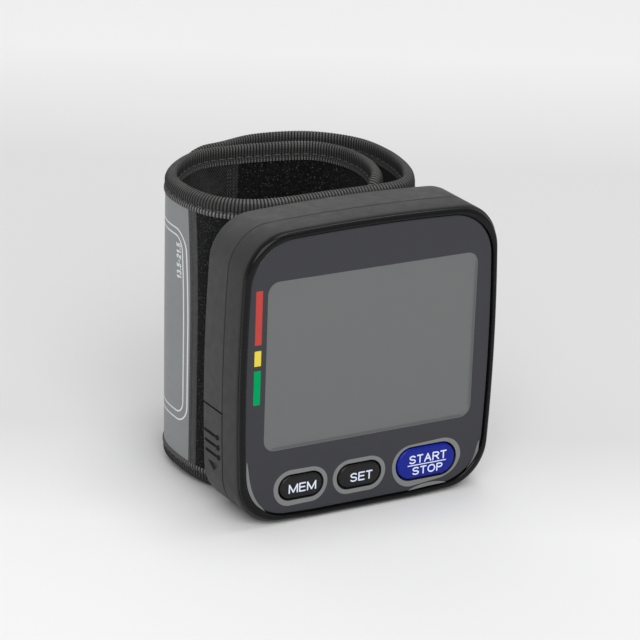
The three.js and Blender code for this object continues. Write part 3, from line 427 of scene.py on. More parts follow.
def lettering(text, width, height, weight):
    """Outlines of a word's strokes in a box of a width and a height, with its low left corner at zero."""
    widths = np.array([GLYPHS[sign][0] for sign in text])
    unit = width / (widths.sum() + 0.13 * (len(text) - 1))
    left = np.cumsum(np.r_[0, widths[:-1] + 0.13]) * unit
    outlines = []
    for sign, start, share in zip(text, left, widths):
        size = np.array([max(share * unit - weight, 0), height - weight])
        for line in GLYPHS[sign][1]:
            outlines.append(stroke_outline(np.asarray(line) * size + [start + weight / 2, weight / 2], weight))
    return outlines


# ---------------------------------------------------------------- materials


# Sets the finishes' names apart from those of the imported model's materials
FINISH_PREFIX = "finish_"


class Finish:
    """A material whose nodes are added one by one, with its Principled shader at the end.

    Its patterns lie on the piece's Object coordinates in millimetres, or on its cloth map.
    """

    def __init__(self, name, base, roughness, metallic=0.0, specular=0.5, cloth=False):
        self.material = bpy.data.materials.new(FINISH_PREFIX + name)
        self.material.use_nodes = True
        self.nodes = self.material.node_tree.nodes
        self.links = self.material.node_tree.links
        self.shader = self.nodes["Principled BSDF"]
        self.base = (*base, 1)
        self.shader.inputs["Base Color"].default_value = self.base
        self.shader.inputs["Roughness"].default_value = roughness
        self.shader.inputs["Metallic"].default_value = metallic
        self.shader.inputs["Specular IOR Level"].default_value = specular
        self.height = None
        if cloth:
            inputs = {"Vector": self.node("UVMap", uv_map="cloth").outputs["UV"]}
        else:
            inputs = {"Vector": self.node("TexCoord").outputs["Object"], "Scale": (1000, 1000, 1000)}
        self.where = self.node("Mapping", inputs).outputs["Vector"]

    def node(self, kind, inputs=(), **settings):
        """Adds a node, sets its options, and sets or links its inputs."""
        node = self.nodes.new("ShaderNode" + kind)
        for key, value in settings.items():
            setattr(node, key, value)
        for key, value in dict(inputs).items():
            if isinstance(value, bpy.types.NodeSocket):
                self.links.new(value, node.inputs[key])
            else:
                node.inputs[key].default_value = value
        return node

    def noise(self, scale, detail=3.0, roughness=0.55):
        """Soft random variation, about 0.5 on average; scale is the number of waves per millimetre."""
        inputs = {"Vector": self.where, "Scale": scale, "Detail": detail, "Roughness": roughness}
        return self.node("TexNoise", inputs).outputs["Fac"]

    def cells(self, scale):
        """Distance to scattered points."""
        return self.node("TexVoronoi", {"Vector": self.where, "Scale": scale}).outputs["Distance"]

    def part(self, axis):
        """One coordinate of the place."""
        return self.node("SeparateXYZ", {"Vector": self.where}).outputs[axis]

    def waves(self, pitch, direction="X", turn=0):
        """A sine across one direction, turned by some degrees, from 0 to 1, one wave each pitch."""
        where = self.where
        if turn:
            where = self.node("Mapping", {"Vector": where, "Rotation": (0, 0, radians(turn))}).outputs["Vector"]
        inputs = {"Vector": where, "Scale": pi / (10 * pitch), "Distortion": 0.0}
        return self.node("TexWave", inputs, bands_direction=direction).outputs["Fac"]

    def weave(self, across, up):
        """Waves in both directions of a cloth, multiplied."""
        return self.math("MULTIPLY", self.waves(across, "X"), self.waves(up, "Y"))

    def math(self, operation, first, second=0.0):
        return self.node("Math", {0: first, 1: second}, operation=operation).outputs[0]

    def spread(self, value, low, high, to_low=0.0, to_high=1.0):
        """Maps a range of a value to another range and stops at its ends."""
        inputs = {"Value": value, "From Min": low, "From Max": high, "To Min": to_low, "To Max": to_high}
        return self.node("MapRange", inputs).outputs["Result"]

    def tint(self, share, other):
        """Mixes the base colour towards another by a share that varies over the surface."""
        base = self.shader.inputs["Base Color"]
        before = base.links[0].from_socket if base.is_linked else self.base
        mix = self.node("Mix", {"Factor": share}, data_type="RGBA")
        for key, value in (("A", before), ("B", (*other, 1))):
            socket = next(s for s in mix.inputs if s.name == key and s.type == "RGBA")
            if isinstance(value, bpy.types.NodeSocket):
                self.links.new(value, socket)
            else:
                socket.default_value = value
        self.links.new(next(s for s in mix.outputs if s.type == "RGBA"), base)

    def mottle(self, scale, detail, low, high, share, other, roughness=0.55):
        """Tints in soft patches: the share of the other colour grows as a noise goes from low to high."""
        self.tint(self.spread(self.noise(scale, detail, roughness), low, high, 0, share), other)

    def dust(self, scale, size, share, tone):
        """Tints in small scattered specks."""
        speck = self.math("LESS_THAN", self.cells(scale), size)
        self.tint(self.math("MULTIPLY", speck, share), tone)

    def shine(self, value, low, high):
        """Lets the roughness vary between two values."""
        self.links.new(self.spread(value, 0.25, 0.75, low, high), self.shader.inputs["Roughness"])

    def bump(self, value, depth, strength=1.0):
        """Raises the surface by a value times a depth in millimetres, over any bump made before."""
        inputs = {"Height": value, "Distance": depth / 1000, "Strength": strength}
        if self.height is not None:
            inputs["Normal"] = self.height
        self.height = self.node("Bump", inputs).outputs["Normal"]
        self.links.new(self.height, self.shader.inputs["Normal"])


def once(make):
    """Has a finish made only once, under the name that it is given or its function's; then it is found again."""

    @wraps(make)
    def finish(*settings, **options):
        name = settings[0] if settings else make.__name__
        return bpy.data.materials.get(FINISH_PREFIX + name) or make(*settings, **options)

    return finish


@once
def shell_plastic():
    """Fine spark-eroded grain, slight clouding, a scatter of dust, and painted shade: the front shell is tinted
    darker than the rear shell.
    """
    f = Finish("shell_plastic", finish_colours().shell, 0.5, specular=0.32)
    f.mottle(0.05, 2, 0.35, 0.65, 0.25, (0.026, 0.027, 0.026))
    f.mottle(6.0, 2, 0.35, 0.7, 0.3, (0.05, 0.051, 0.049))
    # Painted shade: everything in front of the parting depth, the front shell, is tinted darker, standing in for the
    # light falling differently on the two shells.
    parting = mm(housing().parting_depth) + FRONT
    depth = f.part("Y")
    f.tint(f.spread(depth, parting - 0.1, parting + 0.1, 0.45, 0), (0.02, 0.0205, 0.02))
    f.dust(0.16, 0.012, 0.5, (0.35, 0.35, 0.34))
    f.shine(f.noise(0.4), 0.46, 0.6)
    f.bump(f.noise(5.0, 3), 0.02, 0.5)
    return f.material


@once
def rim_gloss():
    """Polished black plastic with faint wiping marks."""
    f = Finish("rim_gloss", finish_colours().rim, 0.12, specular=0.17)
    f.mottle(1.2, 4, 0.45, 0.75, 0.5, (0.009, 0.0095, 0.0095))
    f.shine(f.noise(0.5, 4), 0.09, 0.18)
    f.bump(f.noise(0.6, 2), 0.01, 0.25)
    return f.material


@once
def lens_print():
    """Dark grey printed behind clear plastic: a fine speckle under a glossy face."""
    f = Finish("lens_print", finish_colours().print_grey, 0.2, specular=0.35)
    f.mottle(3.5, 2, 0.35, 0.7, 0.6, (0.037, 0.037, 0.0445), 0.7)
    f.mottle(0.03, 2, 0.3, 0.7, 0.25, (0.0245, 0.0255, 0.03))
    f.dust(0.09, 0.01, 0.6, (0.35, 0.35, 0.35))
    f.shine(f.noise(0.2, 4), 0.16, 0.26)
    return f.material


@once
def display_glass():
    """A switched off display: a grey polariser with a very fine grain."""
    f = Finish("display_glass", finish_colours().display, 0.35, specular=0.4)
    f.mottle(4.0, 2, 0.35, 0.7, 0.35, (0.175, 0.18, 0.18), 0.7)
    f.mottle(0.02, 1, 0.3, 0.7, 0.3, (0.135, 0.142, 0.14))
    return f.material


@once
def window_clear():
    """The window in the lens: a grey veil through which a quarter of the display's light comes."""
    f = Finish("window_clear", (0.165, 0.168, 0.17), 0.2, specular=0.35)
    f.shader.inputs["Alpha"].default_value = 0.75
    f.mottle(3.0, 3, 0.3, 0.7, 0.4, (0.18, 0.183, 0.185))
    return f.material


@once
def key_plastic(name, base, lighter):
    """Satin keycap plastic with a fine grain and a little wear."""
    f = Finish(name, base, 0.24, specular=0.2)
    f.mottle(2.5, 3, 0.4, 0.75, 0.5, lighter)
    f.shine(f.noise(1.5, 3), 0.18, 0.3)
    f.bump(f.noise(4.0, 2), 0.008, 0.35)
    return f.material


@once
def ink(name, base, roughness=0.4, specular=0.4):
    """Printing ink with slightly uneven cover."""
    f = Finish(name, base, roughness, specular=specular)
    f.mottle(2.5, 3, 0.4, 0.8, 0.6, tuple(0.82 * c for c in base))
    f.bump(f.noise(5.0, 2), 0.005, 0.3)
    return f.material


@once
def loop_cloth():
    """Loop pile: tiny loops that stand out of a black ground, some of which catch the light."""
    f = Finish("loop_cloth", finish_colours().cloth, 0.92, specular=0.12)
    pile = f.cells(1.9)
    f.mottle(0.15, 3, 0.35, 0.7, 0.6, (0.0035, 0.004, 0.004))
    f.tint(f.spread(pile, 0.05, 0.3, 0.9, 0), (0.03, 0.032, 0.031))
    specks = f.math("MULTIPLY", f.spread(f.noise(2.4, 2, 0.8), 0.5, 0.6), f.spread(pile, 0.08, 0.3, 1, 0))
    f.tint(specks, (0.14, 0.145, 0.14))
    f.shader.inputs["Sheen Weight"].default_value = 0.06
    f.bump(f.spread(pile, 0.0, 0.5, 1, 0), 0.3, 0.8)
    f.bump(f.noise(1.2, 4, 0.7), 0.25, 0.5)
    return f.material


@once
def velour():
    """Brushed pile with clumps and pale fibre ends."""
    f = Finish("velour", (0.0035, 0.0036, 0.0036), 0.95, specular=0.08)
    clumps = f.noise(1.1, 5, 0.75)
    f.tint(f.spread(clumps, 0.45, 0.7), (0.016, 0.016, 0.0155))
    ends, patches = f.spread(f.cells(1.5), 0.12, 0.34, 1, 0), f.spread(f.noise(0.9, 3, 0.8), 0.42, 0.6)
    f.tint(f.math("MULTIPLY", ends, patches), (0.12, 0.117, 0.113))
    f.shader.inputs["Sheen Weight"].default_value = 0.05
    f.bump(clumps, 0.7, 0.9)
    return f.material


@once
def label_cloth():
    """Coated cloth: a smooth grey face in which the weave just shows."""
    f = Finish("label_cloth", finish_colours().label, 0.5, specular=0.35, cloth=True)
    weave = f.weave(0.28, 0.28)
    f.tint(f.spread(weave, 0.1, 0.9, 0, 0.12), (0.31, 0.32, 0.325))
    f.mottle(0.09, 3, 0.3, 0.7, 0.35, (0.2, 0.212, 0.218))
    f.shine(f.noise(0.5), 0.38, 0.5)
    f.bump(weave, 0.02, 0.3)
    f.bump(f.noise(0.12, 2), 0.2, 0.25)
    return f.material


@once
def nylon_weave():
    """Twill of shiny black yarn: two crossing sets of diagonal waves."""
    f = Finish("nylon_weave", (0.008, 0.008, 0.0082), 0.55, specular=0.3, cloth=True)
    over = f.waves(0.55, turn=38)
    under = f.math("MULTIPLY", f.waves(0.55, turn=-52), f.spread(f.noise(0.1, 1), 0.4, 0.6, 0.5, 1))
    yarn = f.math("MAXIMUM", over, under)
    f.tint(f.spread(yarn, 0.6, 0.95), (0.07, 0.07, 0.068))
    f.mottle(0.8, 3, 0.45, 0.75, 0.6, (0.004, 0.004, 0.004))
    f.bump(yarn, 0.16, 0.8)
    return f.material


@once
def tape_cloth():
    """Ribbed binding tape: painted light on the ribs of its crest, pale yarn on its hem, dark between, painted shade
    in the valleys between the ribs, with fluff.
    """
    f = Finish("tape_cloth", finish_colours().tape, 0.75, specular=0.2, cloth=True)
    ribs = f.waves(mm(cuff().rib_pitch), "X")
    yarns = f.waves(0.42, "Y")
    from_fold = f.math("ABSOLUTE", f.part("Y"))
    crest = f.spread(from_fold, 1.2, 2.0, 1, 0)
    hem = f.spread(f.math("ABSOLUTE", f.math("SUBTRACT", from_fold, 5.05)), 0.5, 0.8, 1, 0)
    # Painted light: the crest of the fold, lit from above, is tinted paler in patches.
    f.tint(f.math("MULTIPLY", crest, f.spread(f.noise(0.05, 2), 0.35, 0.65, 0.35, 1)), (0.15, 0.15, 0.146))
    f.tint(hem, (0.2, 0.2, 0.195))
    f.mottle(1.1, 4, 0.5, 0.75, 0.5, (0.03, 0.03, 0.03), 0.7)
    f.tint(f.spread(yarns, 0.0, 0.5, 0.45, 0), (0.01, 0.01, 0.01))
    # Painted shade: the valleys between the ribs are tinted near black.
    f.tint(f.spread(ribs, 0.3, 0.75, 0.9, 0), (0.006, 0.006, 0.006))
    f.bump(yarns, 0.08, 0.5)
    f.bump(f.noise(2.0, 3), 0.12, 0.5)
    return f.material


@once
def border_cloth():
    """Flat woven strip: close fine ribs, slightly worn."""
    f = Finish("border_cloth", (0.07, 0.071, 0.07), 0.75, specular=0.2, cloth=True)
    weave = f.weave(0.4, 0.5)
    f.tint(f.spread(weave, 0.1, 0.8, 0.4, 0), (0.035, 0.035, 0.035))
    f.mottle(0.9, 3, 0.45, 0.75, 0.5, (0.1, 0.101, 0.1))
    f.bump(weave, 0.06, 0.5)
    return f.material


@once
def hook_cloth():
    """Hook tape: rows of tiny hooks on a black ground."""
    f = Finish("hook_cloth", (0.012, 0.012, 0.012), 0.6, cloth=True)
    rows = f.weave(0.9, 1.3)
    f.tint(f.spread(rows, 0.35, 0.9), (0.05, 0.05, 0.05))
    f.bump(rows, 0.5, 0.9)
    f.bump(f.noise(3.0, 2), 0.15, 0.5)
    return f.material


@once
def plain(name, base, roughness, metallic=0.0, grain=1.0, depth=0.02, shade=0.6):
    """A moulded, rolled or foamed finish: base colour, clouding towards a darker shade, and a grain."""
    f = Finish(name, base, roughness, metallic)
    f.mottle(0.3, 4, 0.35, 0.75, 0.6, tuple(shade * c for c in base))
    f.shine(f.noise(grain, 3), max(roughness - 0.08, 0.05), min(roughness + 0.1, 1))
    f.bump(f.noise(2.5 * grain, 3), depth, 0.5)
    return f.material


@once
def board_lacquer():
    """Green lacquer over copper tracks, which run up and across."""
    f = Finish("board_lacquer", (0.012, 0.13, 0.045), 0.35)
    tracks = f.math("MAXIMUM", f.waves(2.4, "X"), f.waves(3.7, "Z"))
    f.tint(f.math("GREATER_THAN", tracks, 0.96), (0.03, 0.24, 0.08))
    f.bump(f.math("GREATER_THAN", tracks, 0.96), 0.04, 0.6)
    return f.material


@once
def cell_wrap():
    """Printed wrap of a battery cell: a blue band and a steel band, with a thin line between."""
    f = Finish("cell_wrap", (0.03, 0.15, 0.26), 0.35, 0.3)
    along = f.part("X")
    f.tint(f.math("GREATER_THAN", along, 3.0), (0.5, 0.5, 0.48))
    f.tint(f.math("LESS_THAN", f.math("ABSOLUTE", f.math("SUBTRACT", along, 3.0)), 0.5), (0.75, 0.6, 0.1))
    f.mottle(0.8, 3, 0.5, 0.75, 0.3, (0.02, 0.06, 0.1))
    return f.material


# ---------------------------------------------------------------- housing pieces

# Keys: centre x, centre z, width, height
KEYS = {
    "mem_button": (-17.775, 8.8, 11.85, 6.1),
    "set_button": (-1.725, 8.8, 11.85, 6.1),
    "start_stop_button": (17.1, 9.0, 16.6, 8.3),
}
# Words on the keys: body, then left, right, low and high
WORDS = {
    "MEM": ("mem_key", -21.27, -13.77, 7.39, 9.74),
    "SET": ("set_key", -4.37, 1.83, 7.34, 9.64),
    "START": ("start_key", 12.13, 22.73, 9.04, 11.24),
    "STOP": ("start_key", 13.13, 21.73, 6.04, 8.14),
}
# Housing screws' bosses, the cuff screws and the air nozzle: x and z
BOSSES = ((-29.0, 67.0), (29.0, 67.0), (29.0, 7.0), (-31.9, 31.5))
CUFF_SCREWS = ((-8.2, 36), (-8.2, 64), (8.2, 36), (8.2, 64))
NOZZLE = ((0, 55.8),)
BORE, NOZZLE_HOLE = 1.25, 1.9
# The window's left, right, low and high edge
WINDOW = (-28.26, 29.1, 18.99, 61.42)
LENS_FRONT, LENS_BACK, KEY_FRONT = 0.7, 1.7, 0.35
# How far ink and glue stand out
INK = 0.02
# The battery bay's walls: two corners each
BAY_WALLS = {
    "ceiling": ((-33.0, 6.3, 25.9), (18.5, 16.7, 27.2)),
    "shelf": ((-33.0, 6.3, 26.9), (18.5, 17.2, 28.4)),
    "left": ((-33.0, 6.3, 1.8), (-31.9, 16.7, 27.2)),
    "right": ((17.4, 6.3, 1.8), (18.5, 16.7, 27.2)),
}
# Grip grooves of the battery cover: height, and where each begins and ends in depth
GROOVES = ((20.3, 10.9, 17.3), (17.78, 10.6, 17.0), (15.32, 10.35, 16.7))
# Height at which the bowed sides are widest
WIDEST = 36.9
# Width of the pale rim of glue round each key, at angles counted from the key's right
GLUE_WIDTHS = {
    "mem_button": ((0, 1.0), (90, 1.1), (180, 1.2), (270, 1.3)),
    "set_button": ((0, 1.05), (90, 1.0), (180, 1.05), (270, 1.1)),
    "start_stop_button": (
        (0, 1.2), (25, 1.15), (60, 0.75), (90, 0.45), (125, 0.5), (160, 0.8), (180, 0.95), (215, 1.3), (235, 1.5),
        (270, 1.15), (300, 0.8), (325, 0.35), (345, 0.8),
    ),
}
# Three smears of glue along the lens's edge: points of their outer side, and width
GLUE_SMEARS = {
    "glue_smear_left": (((-32.75, 17.4), (-32.5, 12.1), (-31.6, 8.8), (-30.05, 6.2), (-27.4, 3.8)), 0.85),
    "glue_smear_right": (((28.9, 4.7), (30.5, 5.8), (31.9, 7.9), (32.3, 11.9)), 0.9),
    "glue_smear_foot": (((12.4, 2.0), (17.7, 2.3), (23.1, 2.4)), 0.9),
}


def pill(name, section, size):
    """A key's solid: a pill outline drawn in by the section's insets."""
    return loft(name, section, lambda inset: pill_outline(*size, -inset))


def key_holes(front, back, outset):
    """Cutters for the three key holes."""
    return [slab(name + "_cut", pill_outline(*size, outset), front, back) for name, size in KEYS.items()]


def side_x(z):
    """Where the bowed left side is at a height."""
    sizes = housing()
    side = mm(sizes.side_radius)
    return side - mm(sizes.width) / 2 - np.sqrt(side**2 - (z - WIDEST) ** 2)


def rods(name, places, front, back, radius, sides=20):
    """Rods from front to back at places given by x and z."""
    return [rod(name, (x, front, z), (x, back, z), radius, sides=sides) for x, z in places]


class MONITOR_OT_rim(bpy.types.Operator):
    """The polished rim: a section with a round front edge, carried round the housing's outline.

    Its corners get rounder from its side to its inner edge, in step with the inset.
    """

    bl_idname = "monitor.rim"
    bl_label = "Rim"

    def execute(self, context):
        sizes = housing()
        step, fillet, lip = mm(sizes.rim_step), mm(sizes.rim_fillet), mm(sizes.rim_lip)
        section = [(step + 0.1, 1.3), (step, 1.2)] + quarter(fillet, step, 0, steps=10)
        section += [(lip - 0.26, 0.02), (lip - 0.1, 0.08), (lip, 0.24), (lip, 1.3)]
        growth = mm(sizes.face_rounding) / lip
        outline = lambda inset: housing_outline(inset, inset * growth)
        place(loft("rim", section, outline, closed=True), "monitor", "bezel_plastic", rim_gloss(), ["bezel_ring"])
        return {"FINISHED"}


def raised(near, far, axis):
    """A strip on the lens between two lines, as a grid of its four edges: they stand out by 0.015 mm."""
    levels = ((near, 0), (near, -0.015), (far, -0.015), (far, 0))
    return np.stack([np.insert(edge, 1, LENS_FRONT + rise, axis=1) for edge, rise in levels], axis)


class MONITOR_OT_lens(bpy.types.Operator):
    """The printed lens with its clear window, the pressure bars and the pale rims of glue round the keys."""

    bl_idname = "monitor.lens"
    bl_label = "Lens"

    def execute(self, context):
        section = [(8, LENS_FRONT), (2.2, LENS_FRONT), (2.06, LENS_FRONT + 0.1), (2.06, LENS_BACK), (8, LENS_BACK)]
        rounding = mm(housing().face_rounding)
        lens = loft("lens", section, lambda inset: housing_outline(inset, rounding))
        window = rectangle_outline(*WINDOW, 3)
        cuts = key_holes(LENS_FRONT - 1, LENS_BACK + 1, GAP)
        carve(lens, "DIFFERENCE", cuts + [slab("window_cut", window, LENS_FRONT - 1, LENS_BACK + 1)])
        place(lens, "monitor", "lens_print", lens_print(), ["display_lens"])
        pane = slab("window_pane", window, LENS_FRONT, LENS_BACK)
        place(pane, "monitor", "lens_print", window_clear())
        self.window_edges()
        self.bars()
        self.glue_rims()
        return {"FINISHED"}

    def window_edges(self):
        """Painted shade: thin darker strips along the window's foot and right side, where the opening's wall shows in
        shadow.
        """
        left, right, low, high = WINDOW
        # Painted shade: a darker grey ink standing in for the shadowed wall of the window's opening.
        shade = ink("window_edge_painted_shade", (0.085, 0.087, 0.088), 0.3)
        for name, outline in (
            ("window_foot", rectangle_outline(left + 2.3, right - 2.3, low + 0.18, low + 0.78, 0.28, 4)),
            ("window_side", rectangle_outline(right - 0.7, right - 0.15, low + 2.3, high - 2.3, 0.26, 4)),
        ):
            place(slab(name, outline, LENS_FRONT - 0.01, LENS_FRONT), "monitor", "lens_print", shade)

    def bars(self):
        """Three printed bars left of the window."""
        tones = finish_colours()
        for name, low, high, tone in (
            ("red_bar", 46.45, 59.8, tones.red_bar),
            ("yellow_bar", 41.2, 45.0, tones.yellow_bar),
            ("green_bar", 31.45, 40.0, tones.green_bar),
        ):
            bar = slab(name, rectangle_outline(-31.4, -29.65, low, high, 0.12, 3), LENS_FRONT - INK, LENS_FRONT)
            place(bar, "monitor", "lens_print", ink(name, tone, 0.5, 0.03))

    def glue_rims(self):
        """Pale rims round the keys, wider and narrower by their table, and smears along the lens's edge."""
        grey = ink("glue_rim", finish_colours().glue, 0.35)
        for name, size in KEYS.items():
            inner = pill_outline(*size, GAP + 0.02, 30)
            away = pill_outline(*size, 1, 30) - pill_outline(*size, 0, 30)
            turn = np.degrees(np.arctan2(*(inner - size[:2]).T[::-1]))
            angles, widths = np.array(GLUE_WIDTHS[name]).T
            wide = np.interp(turn, angles, widths, period=360) + 0.05 * np.sin(np.radians(7 * turn))
            outer = inner + away * wide[:, None]
            rim = surface(name + "_glue_rim", raised(inner, outer, axis=0), closed=True, around=True)
            place(rim, "monitor", "lens_print", grey)
        for name, (points, width) in GLUE_SMEARS.items():
            self.smear(name, np.array(points), width, grey)

    def smear(self, name, points, width, grey):
        """A crescent beside a smooth line: its width follows half a sine from end to end."""
        line = smooth_path(points, 12)
        run = lengths_along(line)
        way = directions(line, run)
        wide = 0.03 + width * np.sin(pi * run / run[-1]) ** 0.7
        far = line + np.stack([-way[:, 1], way[:, 0]], -1) * wide[:, None]
        place(surface(name, raised(line, far, axis=1), around=True, caps=True), "monitor", "lens_print", grey)


class MONITOR_OT_front_shell(bpy.types.Operator):
    """The front shell: a lofted cup with its window, key holes and screw bosses."""

    bl_idname = "monitor.front_shell"
    bl_label = "Front shell"

    def execute(self, context):
        section = [(8, 2.0), (1.7, 2.0), (1.7, 1.6), (0.45, 1.6), (0.2, 1.66), (0.06, 1.82), (0, 2.1)]
        section += [(0, 8.25), (0.08, 8.36), (0.2, 8.4), (1.5, 8.4), (1.5, 3.2), (8, 3.2)]
        shell = loft("front_housing", section, housing_outline)
        left, right, low, high = WINDOW
        opening = rectangle_outline(left - 0.6, right + 0.6, low - 0.6, high + 0.6, 3)
        posts = rods("post", BOSSES, 3, 4.7, 2.3) + rods("post", BOSSES, 4.5, 10.5, 1.9)
        carve(shell, "DIFFERENCE", key_holes(1, 5, GAP) + [slab("opening_cut", opening, 1, 5)])
        carve(shell, "UNION", posts)
        carve(shell, "DIFFERENCE", rods("bore", BOSSES, 3.7, 12, BORE))
        place(shell, "monitor", "shell_plastic", shell_plastic(), ["front_shell"])
        return {"FINISHED"}


def rear_cup(name, edge):
    """The rear half as one cup: side wall, round back edge and back wall, open at the front."""
    sizes = housing()
    depth, wall = mm(sizes.depth), mm(sizes.wall)
    section = [(8, depth - 1.15), (wall, depth - 1.15), (wall, edge)]
    section += [(0.2, edge), (0.08, edge + 0.04), (0, edge + 0.15)]
    section += quarter(0.42, 0, depth, steps=5, towards=-1) + [(8, depth)]
    return loft(name, section, housing_outline)


class MONITOR_OT_rear_shell(bpy.types.Operator):
    """The rear shell: the cup without the battery corner, with the cell bay, screw posts and holes."""

    bl_idname = "monitor.rear_shell"
    bl_label = "Rear shell"

    def execute(self, context):
        sizes = housing()
        right, top = mm(sizes.cover_width) + GAP, mm(sizes.cover_height) + GAP + 0.22
        shell = rear_cup("rear_housing", 8.68)
        carve(shell, "DIFFERENCE", [box("corner_cut", (-60, 4, -5), (right, 30, top))])
        walls, *others = [box(name, low, high) for name, (low, high) in BAY_WALLS.items()]
        inside = slab("inside", housing_outline(1.8), 6.3, 17.2)
        carve(walls, "UNION", others)
        carve(walls, "INTERSECT", [inside])
        carve(walls, "DIFFERENCE", [box("shelf_cut", (-34, 16.7, 20), (right, 20, top))])
        wide = slab("wide", housing_outline(0.75), 8.7, 17.6)
        posts, *others = rods("post", BOSSES, 10.8, 17.5, 3, 28)
        carve(posts, "UNION", others + [box("foot", (right, 6.3, 0.5), (18.5, 17.5, 27.2))])
        carve(posts, "INTERSECT", [wide])
        carve(shell, "UNION", [walls, posts])
        holes = rods("bore", BOSSES, 9, 22, BORE) + rods("head", BOSSES, 17, 22, 2.1, 28)
        holes += rods("boss", CUFF_SCREWS, 15, 22, 2.5, 24) + rods("nozzle", NOZZLE, 15, 22, NOZZLE_HOLE)
        carve(shell, "DIFFERENCE", holes)
        place(shell, "monitor", "shell_plastic", shell_plastic(), ["rear_shell"])
        return {"FINISHED"}


class MONITOR_OT_battery_cover(bpy.types.Operator):
    """The battery cover: the cup's corner, with grip grooves, studs in dimples and a sunk triangle on its left."""

    bl_idname = "monitor.battery_cover"
    bl_label = "Battery cover"

    def execute(self, context):
        sizes = housing()
        right, top = mm(sizes.cover_width), mm(sizes.cover_height)
        cover = rear_cup("cover", 8.85)
        carve(cover, "INTERSECT", [box("corner", (-60, 4, -5), (right, 30, top))])
        ribs, other = (box("rib", (x - 0.6, 9, 0.7), (x + 0.6, 17.4, 4.2)) for x in (-19.71, 5.21))
        carve(ribs, "UNION", [other])
        carve(ribs, "INTERSECT", [slab("wide", housing_outline(0.75), 8.9, 17.5)])
        carve(cover, "UNION", [ribs])
        marks = []
        for height, front, back in GROOVES:
            x = side_x(height)
            marks.append(rod("groove", (x + 0.36, front + 0.9, height), (x + 0.36, back, height), 0.56, True, 14))
            marks.append(rod("dimple", (x - 2, front, height), (x + 0.9, front, height), 0.7, sides=20))
            ends = (x + 1.1, front, height), (x + 0.05, front, height)
            stud = rod(f"grip_stud_{round(height)}", *ends, 0.6, True, 18)
            place(stud, "cover", "bezel_plastic", rim_gloss())
        marks.append(self.triangle())
        carve(cover, "DIFFERENCE", marks)
        place(cover, "cover", "shell_plastic", shell_plastic(), ["battery_cover"])
        return {"FINISHED"}

    def triangle(self):
        """A triangular cutter that points down, sunk 0.6 mm into the left side."""
        corners = np.array([(16.05, 12.95), (13.0, 10.95), (10.3, 13.35)])
        depth = side_x(12.6)
        rows = [np.insert(corners, 0, x, axis=1) for x in (depth - 3, depth + 0.6)]
        return surface("triangle", rows, around=True, caps=True)


class MONITOR_OT_keys(bpy.types.Operator):
    """The three keycaps: pills with a round edge and a slight crown, and their printed words."""

    bl_idname = "monitor.keys"
    bl_label = "Keys"

    def execute(self, context):
        tones = finish_colours()
        black = key_plastic("key_black", tones.black_key, (0.016, 0.0165, 0.016))
        blue = key_plastic("key_blue", tones.blue_key, (0.01, 0.02, 0.29))
        for name, size in KEYS.items():
            section = [(-0.8, 4.3), (-0.8, 3.55), (-0.75, 3.5), (0.12, 3.5)]
            section += quarter(0.65, 0.12, KEY_FRONT + 0.07, steps=9)
            section += [(1.4, KEY_FRONT + 0.03), (2.4, KEY_FRONT)]
            cap = pill(name.replace("button", "cap"), section, size)
            is_blue = name == "start_stop_button"
            slot, finish = ("key_blue", blue) if is_blue else ("key_black", black)
            place(cap, name.replace("_stop", "").replace("button", "key"), slot, finish, [name])
        for text, (body, *edges) in WORDS.items():
            self.word(text, body, *edges)
        rule = rectangle_outline(11.73, 22.63, 8.51, 8.76, 0.06, 2)
        line = slab("word_line", rule, KEY_FRONT - INK, KEY_FRONT + 0.05)
        place(line, "start_key", "key_blue", ink("lettering", tones.lettering))
        return {"FINISHED"}

    def word(self, text, body, left, right, low, high):
        """A word on a key's front: each pen stroke is a thin slab."""
        strokes = []
        for k, outline in enumerate(lettering(text, right - left, high - low, 0.35)):
            front = KEY_FRONT - INK - 0.002 * (k % 4)
            strokes.append(slab("stroke", outline + [left, low], front, KEY_FRONT + 0.05))
        slot = "key_blue" if body == "start_key" else "key_black"
        place(join("word_" + text.lower(), strokes), body, slot, ink("lettering", finish_colours().lettering))


